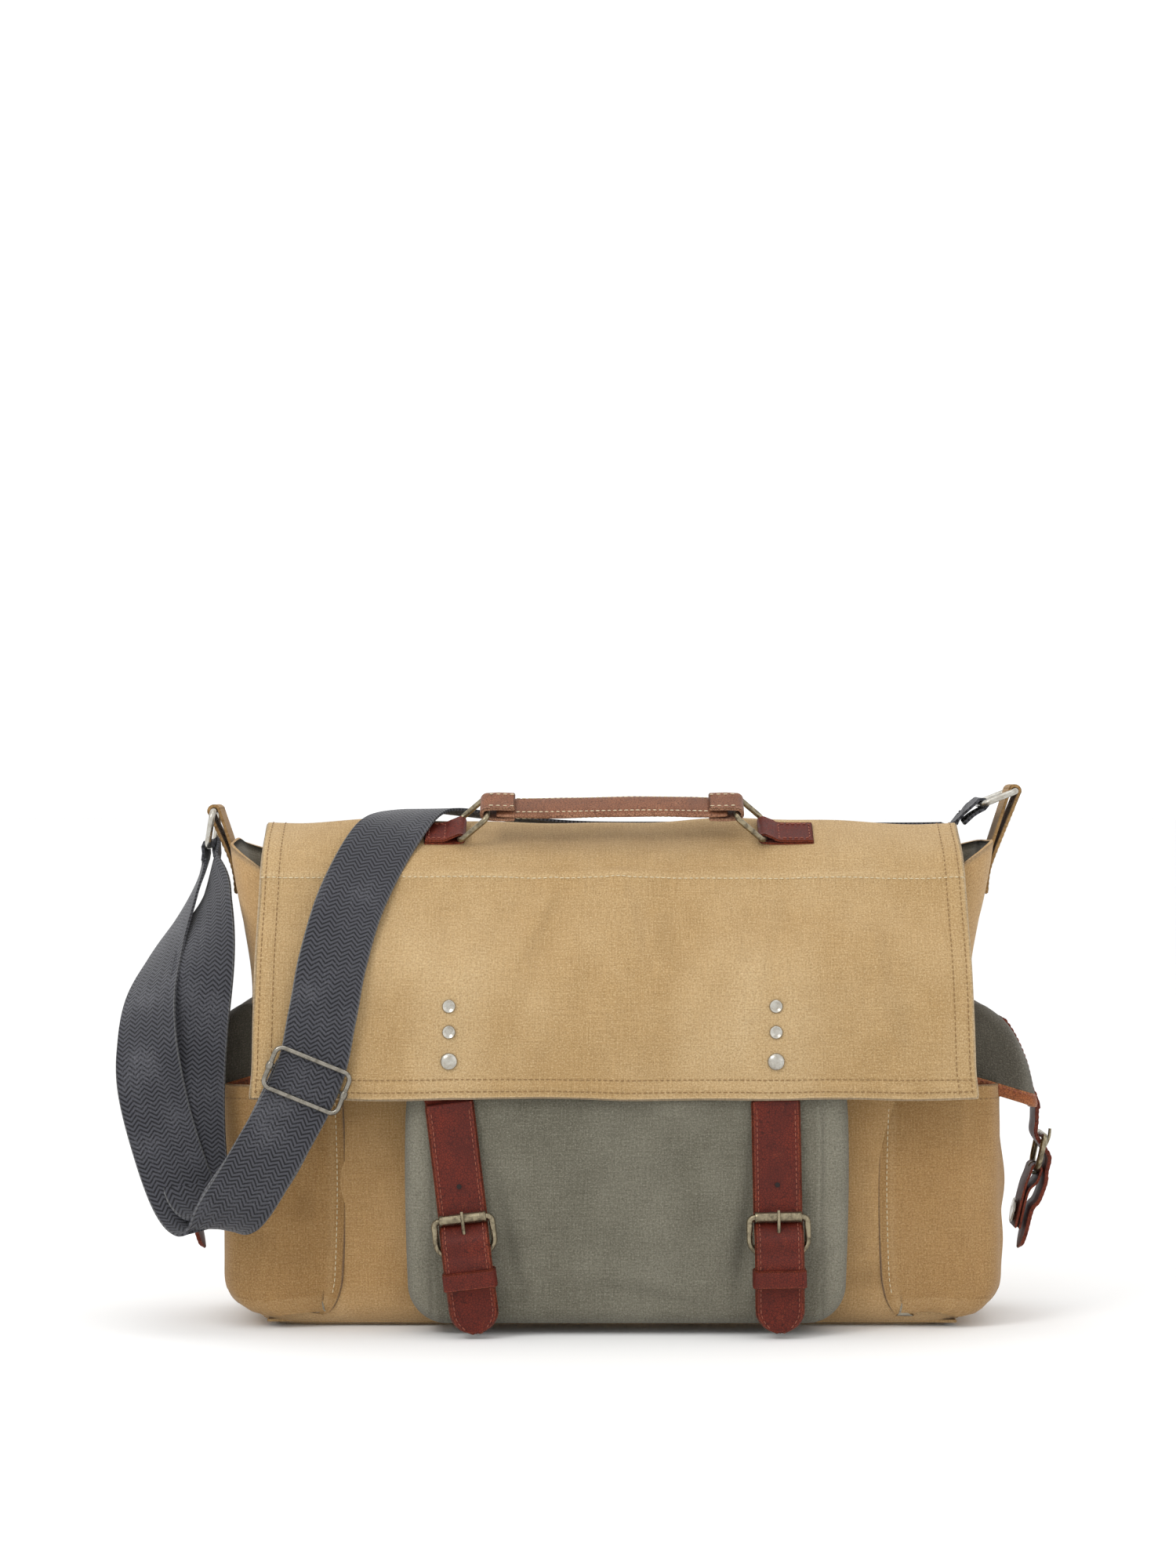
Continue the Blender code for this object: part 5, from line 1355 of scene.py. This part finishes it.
def stitchNodes():
    tree = bpy.data.node_groups.new("stitchRow", "GeometryNodeTree")
    sockets = {}
    for label, kind, value in (("Lines", "Geometry", None), ("Pitch", "Float", 0.003),
                               ("Length", "Float", 0.002),
                               ("Radius", "Float", 0.0003), ("Seed", "Int", 1), ("Thread", "Material", None)):
        item = tree.interface.new_socket(name=label, in_out="INPUT", socket_type="NodeSocket" + kind)
        if value is not None:
            item.default_value = value
        sockets[label] = item.identifier
    tree.interface.new_socket(name="Stitches", in_out="OUTPUT", socket_type="NodeSocketGeometry")

    def add(kind, inputs, **settings):
        # a node, its settings and its inputs, and then its outputs
        made = tree.nodes.new(kind)
        for key, value in settings.items():
            setattr(made, key, value)
        for key, value in inputs.items():
            if isinstance(value, bpy.types.NodeSocket):
                tree.links.new(value, made.inputs[key])
            else:
                made.inputs[key].default_value = value
        return made.outputs

    given = add("NodeGroupInput", {})
    rows = add("GeometryNodeResampleCurve", {"Curve": given["Lines"], "Length": given["Pitch"]},
               mode="LENGTH")
    ball = add("GeometryNodeMeshUVSphere", {"Segments": 6, "Rings": 5, "Radius": 1.0})
    tangent = add("GeometryNodeInputTangent", {})
    align = add("FunctionNodeAlignEulerToVector", {"Vector": tangent[0]}, axis="Z")
    half = add("ShaderNodeMath", {0: given["Length"], 1: 0.5}, operation="MULTIPLY")
    vary = add("FunctionNodeRandomValue", {2: 0.85, 3: 1.15, "Seed": given["Seed"]})
    longer = add("ShaderNodeMath", {0: half[0], 1: vary[1]}, operation="MULTIPLY")
    size = add("ShaderNodeCombineXYZ", {0: given["Radius"], 1: given["Radius"], 2: longer[0]})
    place = add("GeometryNodeInstanceOnPoints", {"Points": rows["Curve"], "Instance": ball["Mesh"],
                                                 "Rotation": align[0], "Scale": size[0]})
    whole = add("GeometryNodeRealizeInstances", {0: place[0]})
    dress = add("GeometryNodeSetMaterial", {"Geometry": whole[0], "Material": given["Thread"]})
    add("NodeGroupOutput", {0: dress[0]})
    return tree, sockets


# each thread's material, and a slot name
threads = {"gold": (goldThread, "tan_canvas"), "cream": (creamThread, "tan_canvas"),
           "rust": (rustThread, "oxblood_leather"), "grey": (greyThread, "grey_canvas")}


def sew(tree, sockets, body, thread, lines):
    v = stitchValues
    material, slotName = threads[thread]
    curve = bpy.data.curves.new(f"sewing_{body}_{thread}", "CURVE")
    curve.dimensions = "3D"
    for line in lines:
        spline = curve.splines.new("POLY")
        spline.points.add(len(line) - 1)
        spline.points.foreach_set("co", np.column_stack([line, np.ones(len(line))]).ravel())
    obj = bpy.data.objects.new(curve.name, curve)
    bpy.context.scene.collection.objects.link(obj)
    modifier = obj.modifiers.new("stitches", "NODES")
    modifier.node_group = tree
    for label in ("Pitch", "Length", "Radius", "Seed"):
        modifier[sockets[label]] = v[label.lower()]
    modifier[sockets["Thread"]] = material
    shape = bpy.data.meshes.new_from_object(obj.evaluated_get(bpy.context.evaluated_depsgraph_get()))
    bpy.data.objects.remove(obj)
    shape.shade_smooth()
    stitches = bpy.data.objects.new(f"stitches_{body}_{thread}", shape)
    bpy.context.scene.collection.objects.link(stitches)
    adopt(stitches, body, "handle_leather" if body == "handle" else slotName)


def flapStitches():
    s = flapSurface
    half, end = s.uv[-1, 0, 0], s.run[-1]
    lift = flap["cloth"] / 2 + flap["stitchLift"]
    for inset in (0.0028, 0.0098):
        v = np.linspace(0.032, end - 0.0036, 220)
        for sign in (-1, 1):
            addStitches("flap", "gold", s.line(np.full(220, sign * (half - inset)), v, lift))
    for inset in (0.0036, 0.0100):
        u = np.linspace(-half + 0.0030, half - 0.0030, 400)
        addStitches("flap", "gold", s.line(u, np.full(400, end - inset), lift))
    for row in (0.0030, 0.0075):
        u = np.linspace(-half + 0.0030, half - 0.0030, 300)
        addStitches("root", "gold", s.line(u, np.full(300, row), lift))
    u = np.linspace(-half + 0.001, half - 0.001, 400)
    addStitches("flap", "cream", s.line(u, np.full(400, s.seam + 0.0016), lift))


def pocketStitches():
    s, inset = frontPocketSurface, frontPocket["sideStrip"]
    ends = s.uv[0, -1, 1]
    for sign in (-1, 1):
        for off in (0.0, 0.0024):
            v = np.linspace(0.003, ends - 0.042, 160)
            u = sign * (frontPocketHalf - inset - off) * np.ones(160)
            addStitches("root", "grey", s.line(u, v, frontPocket["cloth"] / 2 + 0.0001))
    for side in ("left", "right"):
        s = sidePocketSurfaces[side]
        rows = np.linspace(0.6, s.points.shape[1] - 9, 120)
        lift = sidePocket["cloth"] / 2 + 0.0001
        addStitches("root", "cream", s.at(np.full(120, sidePocket["edgeColumn"]), rows, lift))
        columns = np.linspace(3, s.points.shape[0] - 4, 200)
        addStitches("root", "gold", s.at(columns, np.full(200, 4.5), lift))


flapStitches()
pocketStitches()
for side in ("left", "right"):
    addStitches(f"side_flap_{side}", "rust", hoods[side][1])
stitchTree, stitchSockets = stitchNodes()
for (body, thread), lines in stitchRuns.items():
    sew(stitchTree, stitchSockets, body, thread, lines)
print("stitches made", sum(len(v) for v in stitchRuns.values()))


# floor, light and camera
stageValues = {
    "camera": (-0.0133, -2.08, 0.301), "lens": 83.7, "sensor": 36, "floor": 60.0, "floorDrop": 0.0006,
    "sky": 1.17,
    "aim": (0, 0, 0.15),    # what the lamps point at
    # place, size and power of each lamp
    "lights": {"keyLight": ((-1.3, -1.7, 1.8), 0.9, 20), "fillLight": ((1.7, -1.6, 1.0), 1.6, 3),
               "topLight": ((0.1, -0.2, 2.2), 1.4, 5)},
}


def makeStage():
    s = stageValues
    bpy.ops.mesh.primitive_plane_add(size=s["floor"], location=(0, 0, -s["floorDrop"]))
    floor = bpy.context.object
    floor.name = "floor"
    white = Finish("floorPaper", Roughness=0.9, Specular_IOR_Level=0.15)
    tint = white.noise(white.coords("Object"), 3.0)
    paper = white.mix(tint * 0.03, (0.86, 0.86, 0.855), (0.84, 0.84, 0.835))
    floor.data.materials.append(white.send(Base_Color=paper))
    world = bpy.data.worlds.new("studio")
    bpy.context.scene.world = world
    world.use_nodes = True
    sky = world.node_tree.nodes["Background"]
    sky.inputs["Color"].default_value = (1, 1, 1, 1)
    sky.inputs["Strength"].default_value = s["sky"]
    for name, (place, size, power) in s["lights"].items():
        light = bpy.data.lights.new(name, "AREA")
        light.size, light.energy = size, power
        obj = bpy.data.objects.new(name, light)
        bpy.context.scene.collection.objects.link(obj)
        obj.location = place
        obj.rotation_euler = (Vector(s["aim"]) - Vector(place)).to_track_quat("-Z", "Y").to_euler()
    camera = bpy.data.cameras.new("camera")
    camera.lens = s["lens"]
    camera.sensor_width = s["sensor"]
    obj = bpy.data.objects.new("camera", camera)
    bpy.context.scene.collection.objects.link(obj)
    obj.location = s["camera"]
    obj.rotation_euler = (math.radians(90), 0, 0)
    bpy.context.scene.camera = obj
    bpy.context.scene.view_settings.view_transform = "Standard"


makeStage()
